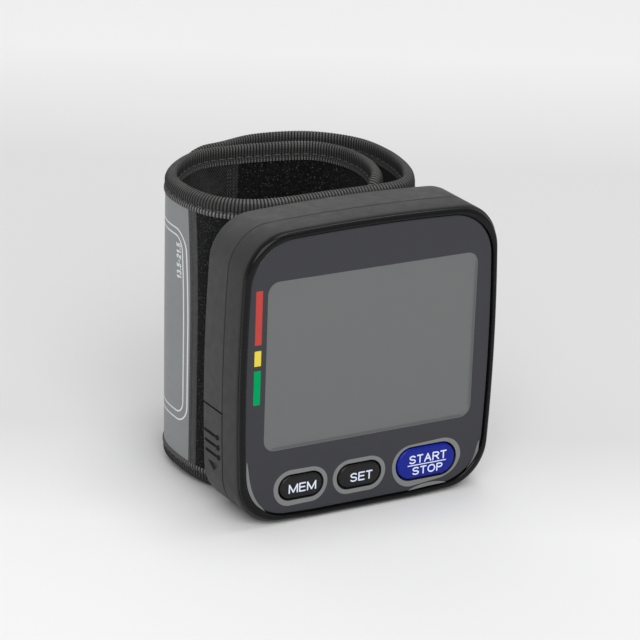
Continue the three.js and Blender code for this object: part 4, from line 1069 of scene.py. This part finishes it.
class MONITOR_OT_inner_parts(bpy.types.Operator):
    """Finishes of the parts inside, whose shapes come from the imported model, and the keypad mat."""

    bl_idname = "monitor.inner_parts"
    bl_label = "Inner parts"

    def execute(self, context):
        white = plain("moulded_white", (0.72, 0.7, 0.64), 0.5, grain=0.8)
        dark = plain("component_black", (0.013, 0.013, 0.014), 0.45, grain=1.5, shade=0.7)
        steel = plain("steel", (0.55, 0.55, 0.53), 0.3, 1.0, grain=0.7, depth=0.01, shade=0.85)
        nickel = plain("contact_nickel", (0.66, 0.64, 0.6), 0.22, 1.0, depth=0.005, shade=0.9)
        rubber = plain("silicone", (0.6, 0.62, 0.62), 0.45, grain=0.6)
        strip = plain("connector_rubber", (0.5, 0.25, 0.29), 0.7, grain=2.0)
        screws = [f"{use}_screw_{i}" for use in ("housing", "cuff") for i in range(1, 5)]
        finishes = {
            display_glass(): ["display_panel"],
            strip: ["connector_strip"],
            board_lacquer(): ["main_board"],
            dark: ["controller_chip", "buzzer", "pressure_sensor"],
            steel: ["pump_motor", "air_valve"] + screws,
            white: ["pump_head", "air_manifold"],
            rubber: ["pump_tube", "valve_tube", "sensor_tube"],
            cell_wrap(): ["upper_cell", "lower_cell"],
            nickel: ["contact_jumper", "positive_contact", "negative_contact"],
            plain("plate_black", (0.02, 0.021, 0.023), 0.5, grain=1.0): ["mounting_plate"],
        }
        for material, names in finishes.items():
            for name in names:
                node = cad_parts[name]
                node.data.materials.clear()
                node.data.materials.append(material)
        silicone = plain("keypad_silicone", (0.22, 0.24, 0.26), 0.6, grain=0.9)
        self.keypad_pads(self.keypad_mat(silicone) + 0.02, silicone)
        return {"FINISHED"}

    def keypad_mat(self, material):
        """A thin mat that lies on the board, clear of a pressed key; its front sinks by a cosine between keys.

        Returns the depth of its front.
        """
        low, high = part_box("keypad_mat")
        left, right, bottom, top = low.x * 1000, high.x * 1000, low.z * 1000, high.z * 1000
        front, back = low.y * 1000 - FRONT + 0.33, high.y * 1000 - FRONT + 0.27
        x, z = np.meshgrid(np.linspace(left, right, 90), np.linspace(bottom, top, 24), indexing="ij")
        near = np.min([np.hypot((x - k[0]) / k[2], (z - k[1]) / k[3]) for k in KEYS.values()], axis=0)
        sink = 0.1 * (1 - np.cos(pi * np.clip(near / 0.55 - 0.8, 0, 1))) / 2
        face = np.stack([x, front + sink, z], -1)
        rear = np.stack([x, np.full_like(x, back), z], -1)
        grid = np.concatenate([face, rear[:, ::-1]], 1)
        mat = surface("keypad_sheet", grid, around=True, caps=True)
        place(mat, "monitor", "rubber_parts", material, ["keypad_mat"])
        return front

    def keypad_pads(self, foot, material):
        """A pad on the mat under each key."""
        for name, size in KEYS.items():
            joint = name.replace("button", "press")
            section = [(0.7, foot), (0.7, 4.62), (0.8, 4.52), (0.95, 4.47)]
            pad = pill("keypad_pad_" + joint, section, size)
            place(pad, "monitor", "rubber_parts", material, ["keypad_mat"])
            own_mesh(pad)


# ---------------------------------------------------------------- the cuff's route

# Places of the band's middle line, seen from above, as shares of the roll's width and depth
INNER_ROUTE = (
    (0.189, 0.006), (0.246, 0.073), (0.294, 0.162), (0.328, 0.286), (0.3475, 0.445), (0.331, 0.644), (0.256, 0.81),
    (0.079, 0.892), (-0.082, 0.918), (-0.244, 0.888), (-0.37, 0.778), (-0.452, 0.652), (-0.497, 0.511),
    (-0.506, 0.359), (-0.495, 0.214), (-0.459, 0.083), (-0.388, -0.017), (-0.308, -0.067), (-0.251, -0.0825),
)
BEND_ROUTE = ((0.254, -0.084), (0.32, -0.056), (0.3755, 0.005))
# The outer layer: how far along the inner one, and how loosely it lies there, as a share of the roll's depth
OUTER_ROUTE = (
    (0.067, 0.0962), (0.107, 0.1012), (0.18, 0.1065), (0.249, 0.124), (0.309, 0.1191),
    (0.397, 0.0985), (0.472, 0.012), (0.535, 0.004), (0.58, 0.004),
)
# Places along the band: its first cloth, the label, the lining's seam, the flap's two folds and the hooks
FRONT_RUN_HALF = 12
CLOTH_START, SEAM = 4.2, 59.1
LABEL_START, LABEL_END = 77.6, 106.0
BLADDER_START, BLADDER_END = 91.8, 153.6
FLAP_CUT, TIP_CUT = 156.5, 182.0
HOOK_START = 226.26
LEFT_BACK, LEFT_BEND, FRONT_MIDDLE = 76.0, 94.6, 142.6
# Depths of face and back of each layer, outwards from the middle line
LOOP, LABEL, LINING, PILE, HOOKS = (1.24, 0.84), (1.45, 0.86), (-1.2, -0.84), (-1.24, -0.84), (-1.3, -0.84)
STIFFENER, FOAM, BLADDER_MIDDLE = (0.76, 0.22), (0.76, -0.76), -0.45
# How far the cloths end below the band's edge
CLOTH_INSET = 4.0
# How far a sheet reaches under its neighbour
LAP = 0.02
# The stitches' distance from the band's edge, and their depths
STITCH_ROW, STITCH_DEPTHS = 2.95, {"outer": 1.42, "inner": -1.42}


def smooth_path(points, steps=120):
    """Centripetal Catmull-Rom curve: each span is a cubic whose end slopes weigh the chords by their root."""
    ends = np.vstack([2 * points[0] - points[1], points, 2 * points[-1] - points[-2]])
    a, b, c, d = (ends[i : len(ends) - 3 + i][:, None, :] for i in range(4))
    before, here, after = (np.sqrt(np.linalg.norm(v, axis=-1, keepdims=True)) for v in (b - a, c - b, d - c))
    leave = ((b - a) / before - (c - a) / (before + here) + (c - b) / here) * here
    arrive = ((c - b) / here - (d - b) / (here + after) + (d - c) / after) * here
    t = np.linspace(0, 1, steps, endpoint=False)[None, :, None]
    spans = b + leave * t + (3 * (c - b) - 2 * leave - arrive) * t**2 + (2 * (b - c) + leave + arrive) * t**3
    return np.vstack([spans.reshape(-1, 2), points[-1]])


def lengths_along(path):
    """How far along a path each of its points is."""
    return np.r_[0, np.cumsum(np.linalg.norm(np.diff(path, axis=0), axis=1))]


def directions(path, along):
    """Unit tangents of a path."""
    slope = np.gradient(path, along, axis=0)
    return slope / np.linalg.norm(slope, axis=1, keepdims=True)


def cuff_route():
    """Middle line of the band seen from above: inner roll, straight front run, right bend and outer layer.

    The inner points are shares of the roll's width and depth. The outer layer stands off the inner one by
    the band's thickness and a looseness at each place. Returns lengths, points and tangents.
    """
    sizes = cuff()
    width, depth, thick = mm(sizes.roll_width), mm(sizes.roll_depth), mm(sizes.thickness)
    front = mm(housing().depth) + GAP + thick / 2
    base = front + thick + GAP + 0.15

    def scaled(shares):
        x, y = np.array(shares).T
        return np.stack([x * width, np.maximum(base + y * depth, front)], -1)

    inner = smooth_path(np.vstack([scaled(INNER_ROUTE), [-FRONT_RUN_HALF, front]]))
    along = lengths_along(inner)
    tangent = directions(inner, along)
    shares = np.array(OUTER_ROUTE)
    at = shares[:, 0] * along[-1]
    point = np.stack([np.interp(at, along, inner[:, k]) for k in (0, 1)], -1)
    way = np.stack([np.interp(at, along, tangent[:, k]) for k in (0, 1)], -1)
    away = (thick + GAP + shares[:, 1] * depth)[:, None]
    loose = point + away * np.stack([way[:, 1], -way[:, 0]], -1)
    outer = smooth_path(np.vstack([[FRONT_RUN_HALF, front], scaled(BEND_ROUTE), loose]))
    run = np.stack([np.linspace(-FRONT_RUN_HALF, FRONT_RUN_HALF, 120), np.full(120, front)], -1)
    path = np.vstack([inner, run[1:], outer[1:]])
    along = lengths_along(path)
    return along, path, directions(path, along)


class Band:
    """The band's shape: turns a length, a depth and a height into a point."""

    def __init__(self):
        self.along, self.path, self.tangent = cuff_route()
        self.end = self.along[-1]
        self.height = mm(cuff().height)
        self.half = mm(cuff().thickness) / 2
        self.tape = mm(cuff().tape_width)
        self.lean = mm(cuff().lean)

    def swell(self, height):
        """How far a sheet swells at a height, as a share: a flattened half sine between the tapes."""
        return np.sin(pi * np.clip((height - self.tape) / (self.height - 2 * self.tape), 0, 1)) ** 0.6

    def at(self, along, depth, height):
        """A point: outwards from the middle line by depth. The left bend leans in and rises at its foot.

        The band's crest stands a little proud of its nominal height, most of all over the front run.
        """
        along, depth, height = np.broadcast_arrays(*(np.asarray(v, float) for v in (along, depth, height)))
        columns = np.hstack([self.path, self.tangent]).T
        x, y, tx, ty = (np.interp(along, self.along, column) for column in columns)
        size = np.hypot(tx, ty)
        bend, run, back = (
            np.cos(np.clip((along - middle) / reach, -1, 1) * pi / 2) ** 2
            for middle, reach in ((LEFT_BEND, 30), (FRONT_MIDDLE, 30), (LEFT_BACK, 22))
        )
        foot = 1 - height / self.height
        depth = depth - self.lean * bend * foot
        height = height + 1.1 * bend * foot**3 + (0.3 + 0.2 * run + 0.5 * back) * np.clip(1 - foot, 0, 1) ** 2
        return np.stack([x + ty / size * depth, y - tx / size * depth, height], -1)


def steps_between(start, end, step=0.8):
    """Even lengths from start to end."""
    return np.linspace(start, end, max(int(round((end - start) / step)), 2) + 1)


def corner_loss(distance, radius):
    """How much a round corner takes off the height at a distance from the band's end."""
    rest = radius - np.clip(distance, 0, radius)
    return radius - np.sqrt(np.maximum(radius**2 - rest**2, 0))


def cloth_layer(name, band, start, end, depths, inset=CLOTH_INSET, puff=0.0, corners=(0, 0), ripple=0.0):
    """A sheet of the band between two lengths and two depths, drawn in from the band's edges by an inset.

    Each row is a thin closed section: the face, which swells by puff along half a sine, and the back. The
    sheet's corners are quarter circles, and ripple adds long low waves as worn cloth has.
    """
    along = steps_between(start, end)
    for edge, radius, way in ((start, corners[0], 1), (end, corners[1], -1)):
        if radius:
            along = np.unique(np.r_[along, edge + way * radius * (1 - np.cos(np.linspace(0, pi / 2, 9)))])
    loss = np.maximum(corner_loss(along - start, corners[0]), corner_loss(end - along, corners[1]))
    share = np.linspace(0, 1, 28)[None, :]
    bottom, top = (inset + loss)[:, None], (band.height - inset - loss)[:, None]
    height = bottom + (top - bottom) * share
    wave = ripple * np.sin(along[:, None] / 7 + height / 11) * np.sin(height / 17 + 1) * np.sin(pi * share)
    out = np.sign(depths[0] - depths[1]) * (puff * band.swell(height) + wave)
    outside, inside = (band.at(along[:, None], depth + out, height) for depth in depths)
    grid = np.concatenate([outside, inside[:, ::-1]], 1)
    place_up = np.concatenate([height, height[:, ::-1], height[:, :1]], 1)
    uv = np.stack([np.broadcast_to(along[:, None], place_up.shape), place_up], -1)
    return surface(name, grid, around=True, caps=True, uv=uv)


def tape_profile(half):
    """Section of the folded tape, as inward distance and depth: two legs with a stitch groove each.

    The outer leg slopes in to a narrow crest near the inner face, and the inner leg drops down from it. The
    legs' inner faces close the strip. Returns the section and how many of its points are outside.
    """
    outside = np.array(
        [
            (4.45, 0.76), (4.35, 0.9), (4.05, 0.98), (3.7, 0.98), (3.4, 0.88), (3.1, 0.76), (2.8, 0.76),
            (2.4, 0.86), (1.7, 0.86), (1.1, 0.72), (0.6, 0.48), (0.25, 0.2), (0.05, -0.08), (0.0, -0.3),
            (0.08, -0.5), (0.35, -0.64), (0.8, -0.68), (1.6, -0.68), (2.4, -0.68), (2.8, -0.66), (3.1, -0.66),
            (3.4, -0.82), (3.7, -0.95), (4.05, -0.97), (4.35, -0.9), (4.45, -0.76),
        ]
    )
    inside = np.array([(3.5, -0.6), (1.2, -0.5), (0.5, -0.26), (1.2, 0.4), (3.5, 0.62)])
    return np.concatenate([outside, inside]) * [1, half], len(outside)


def tape_along(name, band, line):
    """The ribbed tape carried along an edge: each place has its length and height and the way into the band.

    A rib is half a sine: the outer face moves out by the size of sin(pi x / pitch), with four rows a rib.
    """
    pitch, rib = mm(cuff().rib_pitch), mm(cuff().rib_height)
    run = lengths_along(line[:, :2])
    at = np.linspace(0, run[-1], 4 * int(round(run[-1] / pitch)) + 1)
    line = np.stack([np.interp(at, run, column) for column in line.T], -1)
    line[:, 2:] /= np.linalg.norm(line[:, 2:], axis=1, keepdims=True)
    step = np.arange(len(at))
    profile, outer = tape_profile(band.half)
    across = lengths_along(profile)
    way = directions(profile[:outer], across[:outer])
    away = np.zeros_like(profile)
    away[1 : outer - 1] = np.stack([way[:, 1], -way[:, 0]], -1)[1:-1]
    section = profile[None] + (rib * np.abs(np.sin(pi * step / 4)))[:, None, None] * away[None]
    along, height, along_in, height_in = (column[:, None] for column in line.T)
    inward, depth = section[:, :, 0], section[:, :, 1]
    grid = band.at(along + along_in * inward, depth, height + height_in * inward)
    across = np.r_[across, across[-1] + 1] - across[outer // 2]
    uv = np.stack(np.meshgrid(step * pitch / 4, across, indexing="ij"), -1)
    return surface(name, grid, around=True, caps=True, uv=uv)


def straight_edge(band, start, end, is_top):
    """An edge of the band at its top or bottom."""
    along = np.linspace(start, end, max(int(abs(end - start) / 0.8), 2) + 1)
    height, inward = (band.height, -1) if is_top else (0, 1)
    return np.stack([along, np.full_like(along, height), np.zeros_like(along), np.full_like(along, inward)], -1)


def round_edge(band, start, end, radius):
    """An edge along the top, round the band's end by two quarter circles, and back along the bottom."""
    way = np.sign(end - start)
    near = end - way * radius
    angle = np.linspace(pi / 2, 0, 14)
    turn = np.stack([np.cos(angle), np.sin(angle)], -1)
    along, rise = turn.T
    upper = np.stack([near + way * radius * along, band.height - radius + radius * rise, -way * along, -rise], -1)
    lower = upper[::-1] * [1, -1, 1, -1] + [0, band.height, 0, 0]
    middle = np.linspace(upper[-1], lower[0], 60)[1:-1]
    middle[:, 2:] = upper[-1, 2:]
    top = straight_edge(band, start, near, True)[:-1]
    bottom = straight_edge(band, near, start, False)[1:]
    return np.concatenate([top, upper, middle, lower, bottom])


def stitches(name, band, along, height, along_way, height_way, depth, size=(1.8, 0.16)):
    """Stitches: a small pointed capsule at each place, all worked out as one array.

    A stitch is five rings of six points; the ring's radius follows half a sine along the stitch.
    """
    count = len(along)
    long = np.linspace(-0.5, 0.5, 6)
    radius = size[1] * (0.35 + 0.65 * np.cos(long * pi)[None, :, None])
    angle = np.linspace(0, 2 * pi, 6, endpoint=False)[None, None, :]
    s = along[:, None, None] + along_way[:, None, None] * long[None, :, None] * size[0]
    z = height[:, None, None] + height_way[:, None, None] * long[None, :, None] * size[0]
    s = s - height_way[:, None, None] * radius * np.cos(angle)
    z = z + along_way[:, None, None] * radius * np.cos(angle)
    d = depth + np.sign(depth) * radius * np.sin(angle)
    points = band.at(s, d, z).reshape(-1, 3)
    quads = grid_faces(6, 6, False, True)[0]
    starts = np.arange(count)[:, None, None] * 36
    faces = (quads[None] + starts).reshape(-1, 4).tolist()
    caps = [list(range(k, k + 6))[::-1] for k in range(0, 36 * count, 36)]
    caps += [list(range(k + 30, k + 36)) for k in range(0, 36 * count, 36)]
    mesh = bpy.data.meshes.new(name)
    mesh.from_pydata(to_frame(points).tolist(), [], faces + caps)
    return outward(add(name, mesh))


def edge_stitches(name, band, line):
    """Stitches in the tape's outer and inner groove, along an edge line."""
    run = lengths_along(line[:, :2])
    places = np.arange(mm(cuff().stitch_pitch) / 2, run[-1], mm(cuff().stitch_pitch))
    s, z, ds, dz = (np.interp(places, run, line[:, k]) for k in range(4))
    size = np.hypot(ds, dz)
    ds, dz = ds / size, dz / size
    s, z = s + ds * STITCH_ROW, z + dz * STITCH_ROW
    return [stitches(f"{name}_{leg}", band, s, z, dz, -ds, depth) for leg, depth in STITCH_DEPTHS.items()]


def bend_over(obj):
    """Bakes a flap piece's placement into its mesh."""
    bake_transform(obj)


def thread():
    return plain("thread", (0.07, 0.07, 0.068), 0.6, grain=2.0, depth=0.03)


class MONITOR_OT_cuff_roll(bpy.types.Operator):
    """The fixed part of the cuff: label, loop cloth, lining, edge tape, stiffener and bladder."""

    bl_idname = "monitor.cuff_roll"
    bl_label = "Cuff roll"

    def execute(self, context):
        band = Band()
        back = cloth_layer(
            "back_loop_cloth", band, CLOTH_START, LABEL_START + 0.05, LOOP, puff=0.22, corners=(3.6, 0), ripple=0.05
        )
        label = cloth_layer("label_cloth", band, LABEL_START, LABEL_END, LABEL, puff=0.08)
        front = cloth_layer("front_loop_cloth", band, LABEL_END, FLAP_CUT, LOOP, puff=0.1, ripple=0.03)
        holes = rods("boss", CUFF_SCREWS, 17, 22, 2.5) + rods("nozzle", NOZZLE, 17, 22, NOZZLE_HOLE)
        carve(front, "DIFFERENCE", holes)
        self.border(band)
        self.label_lines(band)
        pile = cloth_layer("velour_lining", band, CLOTH_START, SEAM, PILE, puff=0.25, corners=(3.6, 0), ripple=0.12)
        woven = cloth_layer("woven_lining", band, SEAM - LAP, FLAP_CUT, LINING, puff=0.12, ripple=0.12)
        for cloth, start, end, slot, finish, nodes, under in (
            (back, 4.1, LABEL_START, "loop_cloth", loop_cloth, ["back_loop_panel"], "curl_sheet"),
            (label, LABEL_START, LABEL_END, "label_cloth", label_cloth, ["label_panel"], "curl_sheet"),
            (front, LABEL_END, FLAP_CUT, "loop_cloth", loop_cloth, ["front_loop_panel"], "mounting_plate"),
            (pile, CLOTH_START, SEAM, "lining_cloth", velour, ["cuff_lining"], "curl_sheet"),
            (woven, SEAM, FLAP_CUT, "lining_cloth", nylon_weave, [], "air_pillow"),
        ):
            place(cloth, "monitor", slot, finish(), nodes)
        for k, s in enumerate((SEAM + 1.4, SEAM + 2.4, SEAM + 3.1)):
            z = np.arange(6, band.height - 5, 1.0)
            at = np.full_like(z, s)
            row = stitches(f"seam_stitches_{k + 1}", band, at, z, 0 * z, 0 * z + 1, -1.45, (0.75, 0.15))
            place(row, "monitor", "tape_cloth", thread())
        line = round_edge(band, FLAP_CUT, 0, 8)
        place(tape_along("cuff_edge_tape", band, line), "monitor", "tape_cloth", tape_cloth(), ["cuff_tape"])
        for row in edge_stitches("edge_stitches", band, line):
            place(row, "monitor", "tape_cloth", thread())
        self.stiffener(band)
        self.bladder(band)
        return {"FINISHED"}

    def border(self, band):
        """The sewn border between label and loop cloth: a low strip with a groove for its stitches.

        Its edge bows towards the label above the middle, by a parabola.
        """
        edge = lambda z: LABEL_END + 0.05 - 1.3 * (np.maximum(z - 40, 0) / 30) ** 2
        profile = np.array(
            [
                (-0.15, 1.3), (-0.1, 1.52), (0.08, 1.62), (0.45, 1.62), (0.75, 1.52), (1.05, 1.62), (1.9, 1.64),
                (2.35, 1.58), (2.5, 1.45), (2.5, 1.25), (1.2, 1.2),
            ]
        )
        z = steps_between(4.2, band.height - 4.2)[:, None]
        grid = band.at(edge(z) + profile[:, 0], profile[:, 1], z)
        across = np.r_[lengths_along(profile), 5.4]
        uv = np.stack(np.meshgrid(z[:, 0], across, indexing="ij"), -1)
        strip = surface("label_border", grid, around=True, caps=True, uv=uv)
        place(strip, "monitor", "tape_cloth", border_cloth())
        z = np.arange(5.5, band.height - 5, 1.05)
        row = stitches("border_stitches", band, edge(z) + 0.75, z, 0 * z, 0 * z + 1, 1.6, (0.7, 0.15))
        place(row, "monitor", "tape_cloth", thread())

    def label_lines(self, band):
        """Two printed lines: strips along a rectangle with round corners, drawn on the label, and figures."""
        pale = ink("label_ink", (0.78, 0.8, 0.82), 0.5)
        on_label = lambda s, z: s - 0.9 * (np.maximum(z - 37, 0) / 21) ** 2 * np.clip((s - 90) / 14, 0, 1)

        def lift(line, rise):
            """A line of lengths and heights, laid on the swollen label."""
            s, z = line.T
            return band.at(on_label(s, z), LABEL[0] + 0.08 * band.swell(z) + rise, z)

        left = 79.5
        for name, right, low, high, radius in (
            ("outer", 105.4, 13.75, 63.5, 5.0),
            ("inner", 103.65, 15.85, 61.8, 3.5),
        ):
            outer = rectangle_outline(left, right, low, high, radius, 12)
            inner = rectangle_outline(left + 0.42, right - 0.42, low + 0.36, high - 0.36, radius - 0.38, 12)
            outer, inner = (self.refined(line) for line in (outer, inner))
            grid = [lift(p, rise) for p, rise in ((outer, 0.0), (outer, 0.03), (inner, 0.03), (inner, 0.0))]
            place(surface(f"label_line_{name}", grid, closed=True, around=True), "monitor", "label_cloth", pale)
        strokes = []
        for k, outline in enumerate(lettering("13.5-21.5", 8.9, 2.2, 0.36)):
            turned = np.stack([102.6 - outline[:, 1], 51.0 + outline[:, 0]], -1)
            levels = [lift(turned, -0.05), lift(turned, 0.03 + 0.003 * (k % 3))]
            strokes.append(surface("stroke", levels, around=True, caps=True))
        place(join("label_figures", strokes), "monitor", "label_cloth", pale)

    def refined(self, line):
        """A closed line with points about every 0.8 mm, as many for both edges of a strip."""
        closed = np.vstack([line, line[:1]])
        run = lengths_along(closed)
        share = np.linspace(0, 1, 190, endpoint=False) * run[-1]
        return np.stack([np.interp(share, run, closed[:, k]) for k in (0, 1)], -1)

    def stiffener(self, band):
        """The plastic sheet that keeps the band curled."""
        sheet = cloth_layer("curl_sheet", band, 5.3, 131.3, STIFFENER, 5.3, corners=(2.7, 0))
        place(sheet, "monitor", "stiffener_sheet", plain("stiffener", (0.62, 0.65, 0.66), 0.4), ["curl_stiffener"])

    def bladder(self, band):
        """The air bladder: two films welded at the edges, whose face and back part by a sine."""
        along = steps_between(BLADDER_START, BLADDER_END, 1.0)
        share = np.linspace(0, 1, 36)[None, :]
        height = 5.5 + (band.height - 11) * share
        ends = np.clip(np.minimum(along - BLADDER_START, BLADDER_END - along) / 6, 0, 1)[:, None]
        swell = np.sqrt(np.sin(pi * ends / 2)) * np.sin(pi * np.clip(np.minimum(share, 1 - share) * 7, 0, 0.5)) ** 0.7
        face = band.at(along[:, None], BLADDER_MIDDLE + 0.06 + 0.27 * swell, height)
        back = band.at(along[:, None], BLADDER_MIDDLE - 0.06 - 0.25 * swell, height)
        pillow = surface("air_pillow", np.concatenate([face, back[:, ::-1]], 1), around=True, caps=True)
        carve(pillow, "DIFFERENCE", rods("nozzle", NOZZLE, 17, 24, NOZZLE_HOLE))
        place(pillow, "monitor", "rubber_parts", plain("bladder_film", (0.28, 0.33, 0.36), 0.4), ["air_bladder"])


class MONITOR_OT_cuff_flap(bpy.types.Operator):
    """The loose flap: its side and its round end."""

    bl_idname = "monitor.cuff_flap"
    bl_label = "Cuff flap"

    def execute(self, context):
        band = Band()
        end = band.end - CLOTH_INSET
        foam = plain("flap_foam_grey", (0.08, 0.082, 0.085), 0.9, grain=1.5, depth=0.15)
        kinds = {
            LOOP: ("loop_cloth", loop_cloth()),
            LINING: ("lining_cloth", nylon_weave()),
            HOOKS: ("hook_cloth", hook_cloth()),
        }
        for name, hinge, depths, start, stop, lap, puff, corner, ripple, node in (
            ("flap_side_face", "side", LOOP, FLAP_CUT, TIP_CUT, 0, 0.2, 0, 0.08, "flap_side_cloth"),
            ("flap_side_inside", "side", LINING, FLAP_CUT, TIP_CUT, 0, 0.1, 0, 0.05, "flap_side_lining"),
            ("flap_tip_face", "tip", LOOP, TIP_CUT, end, 0, 0.2, 9.5, 0.08, "flap_tip_cloth"),
            ("flap_tip_inside", "tip", LINING, TIP_CUT, HOOK_START, 0, 0.1, 0, 0.05, "flap_tip_lining"),
            ("hook_pad", "tip", HOOKS, HOOK_START, end, LAP, 0.1, 9.5, 0, "hook_patch"),
        ):
            cloth = cloth_layer(name, band, start - lap, stop, depths, puff=puff, corners=(0, corner), ripple=ripple)
            bend_over(place(cloth, None, *kinds[depths], [node]))
        for name, start, stop, hinge, corner in (
            ("flap_side_pad", FLAP_CUT + 0.1, TIP_CUT, "side", 0),
            ("flap_tip_pad", TIP_CUT, end - 0.6, "tip", 9),
        ):
            pad = cloth_layer(name, band, start, stop, FOAM, 5.2, corners=(0, corner))
            place(pad, None, "foam", foam, [name.replace("pad", "foam")])
            bend_over(pad)
        lines = {
            "flap_side_edge_top": (straight_edge(band, FLAP_CUT, TIP_CUT, True), "side", "flap_side_tape_top"),
            "flap_side_edge_bottom": (straight_edge(band, FLAP_CUT, TIP_CUT, False), "side", "flap_side_tape_bottom"),
            "flap_tip_edge": (round_edge(band, TIP_CUT, band.end, 13), "tip", "flap_tip_tape"),
        }
        for name, (line, hinge, node) in lines.items():
            tape = place(tape_along(name, band, line), None, "tape_cloth", tape_cloth(), [node])
            bend_over(tape)
            for row in edge_stitches(name + "_stitches", band, line):
                bend_over(place(row, None, "tape_cloth", thread()))
        return {"FINISHED"}


# ---------------------------------------------------------------- stage


# The photograph's view: the camera's place, its turns about X, Y and Z in degrees, and its lens
CAMERA_SPOT, CAMERA_TURN, FOCAL_LENGTH = (-361.0706, -595.2583, 301.9387), (69.9401, -1.9608, -29.4878), 176.142
# Lamps: place in metres, size and power
LAMPS = {
    "top_lamp": ((0.25, 0.1, 1.65), (0.7, 0.7), 7),
    "back_lamp": ((0.3, 1.8, 0.9), (1.8, 0.8), 4),
    "front_lamp": ((-0.9, -2.1, 1.8), (2.2, 2.2), 55),
}
LIT_PLACE = Vector((0, 0.02, 0.03))


class MONITOR_OT_stage(bpy.types.Operator):
    """The pale floor, the soft lights and the camera."""

    bl_idname = "monitor.stage"
    bl_label = "Stage"

    def execute(self, context):
        scene = context.scene
        self.floor()
        self.lights(scene)
        self.camera(scene)
        scene.view_settings.view_transform = "Standard"
        return {"FINISHED"}

    def floor(self):
        """A wide flat floor just under the object; painted shade darkens it in a band beyond the object, and it is
        left pale in front of the object as painted light.
        """
        places = np.linspace(-3000, 3000, 13)
        x, y = np.meshgrid(places, places, indexing="ij")
        floor = surface("floor", np.stack([x, y, np.full_like(x, -0.02)], -1))
        if floor.data.polygons[0].normal.z < 0:
            floor.data.flip_normals()
        f = Finish("floor_paper", finish_colours().floor, 0.75, specular=0.2)
        away = f.node("VectorMath", {0: f.where, 1: (0.503, 0.864, 0)}, operation="DOT_PRODUCT").outputs["Value"]
        # Painted shade and light: darker from about 45 to 410 mm along the view, where the light is dimmer, and left
        # pale in front of the object to lighten its shadow there.
        near, far = f.spread(away, -18, 45), f.spread(away, 275, 410, 1, 0)
        f.tint(f.math("MULTIPLY", near, far), (0.69, 0.69, 0.69))
        f.mottle(0.003, 2, 0.3, 0.7, 0.1, (0.66, 0.66, 0.66))
        floor.data.materials.append(f.material)

    def lights(self, scene):
        """A soft lamp overhead, a large one far behind, a fill from the front, and an even surround."""
        for name, (spot, size, power) in LAMPS.items():
            lamp = bpy.data.lights.new(name, "AREA")
            lamp.shape = "RECTANGLE"
            lamp.size, lamp.size_y = size
            lamp.energy = power
            obj = add(name, lamp)
            obj.location = spot
            obj.visible_camera = False
            obj.rotation_euler = (LIT_PLACE - Vector(spot)).to_track_quat("-Z", "Y").to_euler()
        world = bpy.data.worlds.new("surround")
        world.use_nodes = True
        shade = world.node_tree.nodes["Background"]
        shade.inputs["Color"].default_value = (1, 1, 1, 1)
        shade.inputs["Strength"].default_value = 0.5
        scene.world = world

    def camera(self, scene):
        """The photograph's view: a long lens from the front left, a little above."""
        lens = bpy.data.cameras.new("camera")
        lens.sensor_width = 36
        lens.lens = FOCAL_LENGTH
        lens.clip_end = 20
        obj = add("camera", lens)
        obj.location = to_frame([CAMERA_SPOT])[0]
        obj.rotation_euler = [radians(angle) for angle in CAMERA_TURN]
        scene.camera = obj


class MONITOR_PT_panel(bpy.types.Panel):
    """Sidebar panel that lists the pieces in the order in which they are built."""

    bl_label = "Wrist blood pressure monitor"
    bl_idname = "MONITOR_PT_panel"
    bl_space_type = "VIEW_3D"
    bl_region_type = "UI"
    bl_category = "Monitor"

    def draw(self, context):
        for group in (context.scene.monitor_housing, context.scene.monitor_cuff, context.scene.monitor_colours):
            box = self.layout.box()
            for name in group.__annotations__:
                box.prop(group, name)
        for operator in OPERATORS:
            self.layout.operator(operator.bl_idname)


GROUPS = {"monitor_housing": HousingSizes, "monitor_cuff": CuffSizes, "monitor_colours": FinishColours}
OPERATORS = (
    MONITOR_OT_stage,
    MONITOR_OT_rim,
    MONITOR_OT_lens,
    MONITOR_OT_front_shell,
    MONITOR_OT_rear_shell,
    MONITOR_OT_battery_cover,
    MONITOR_OT_keys,
    MONITOR_OT_inner_parts,
    MONITOR_OT_cuff_roll,
    MONITOR_OT_cuff_flap,
)


def register():
    for group in GROUPS.values():
        bpy.utils.register_class(group)
    for name, group in GROUPS.items():
        setattr(bpy.types.Scene, name, PointerProperty(type=group))
    for operator in OPERATORS:
        bpy.utils.register_class(operator)
    bpy.utils.register_class(MONITOR_PT_panel)


def unregister():
    bpy.utils.unregister_class(MONITOR_PT_panel)
    for operator in reversed(OPERATORS):
        bpy.utils.unregister_class(operator)
    for name, group in GROUPS.items():
        delattr(bpy.types.Scene, name)
        bpy.utils.unregister_class(group)


def main():
    """Builds every piece in order."""
    register()
    for operator in OPERATORS:
        group, name = operator.bl_idname.split(".")
        getattr(getattr(bpy.ops, group), name)()


if __name__ == "__main__":
    main()
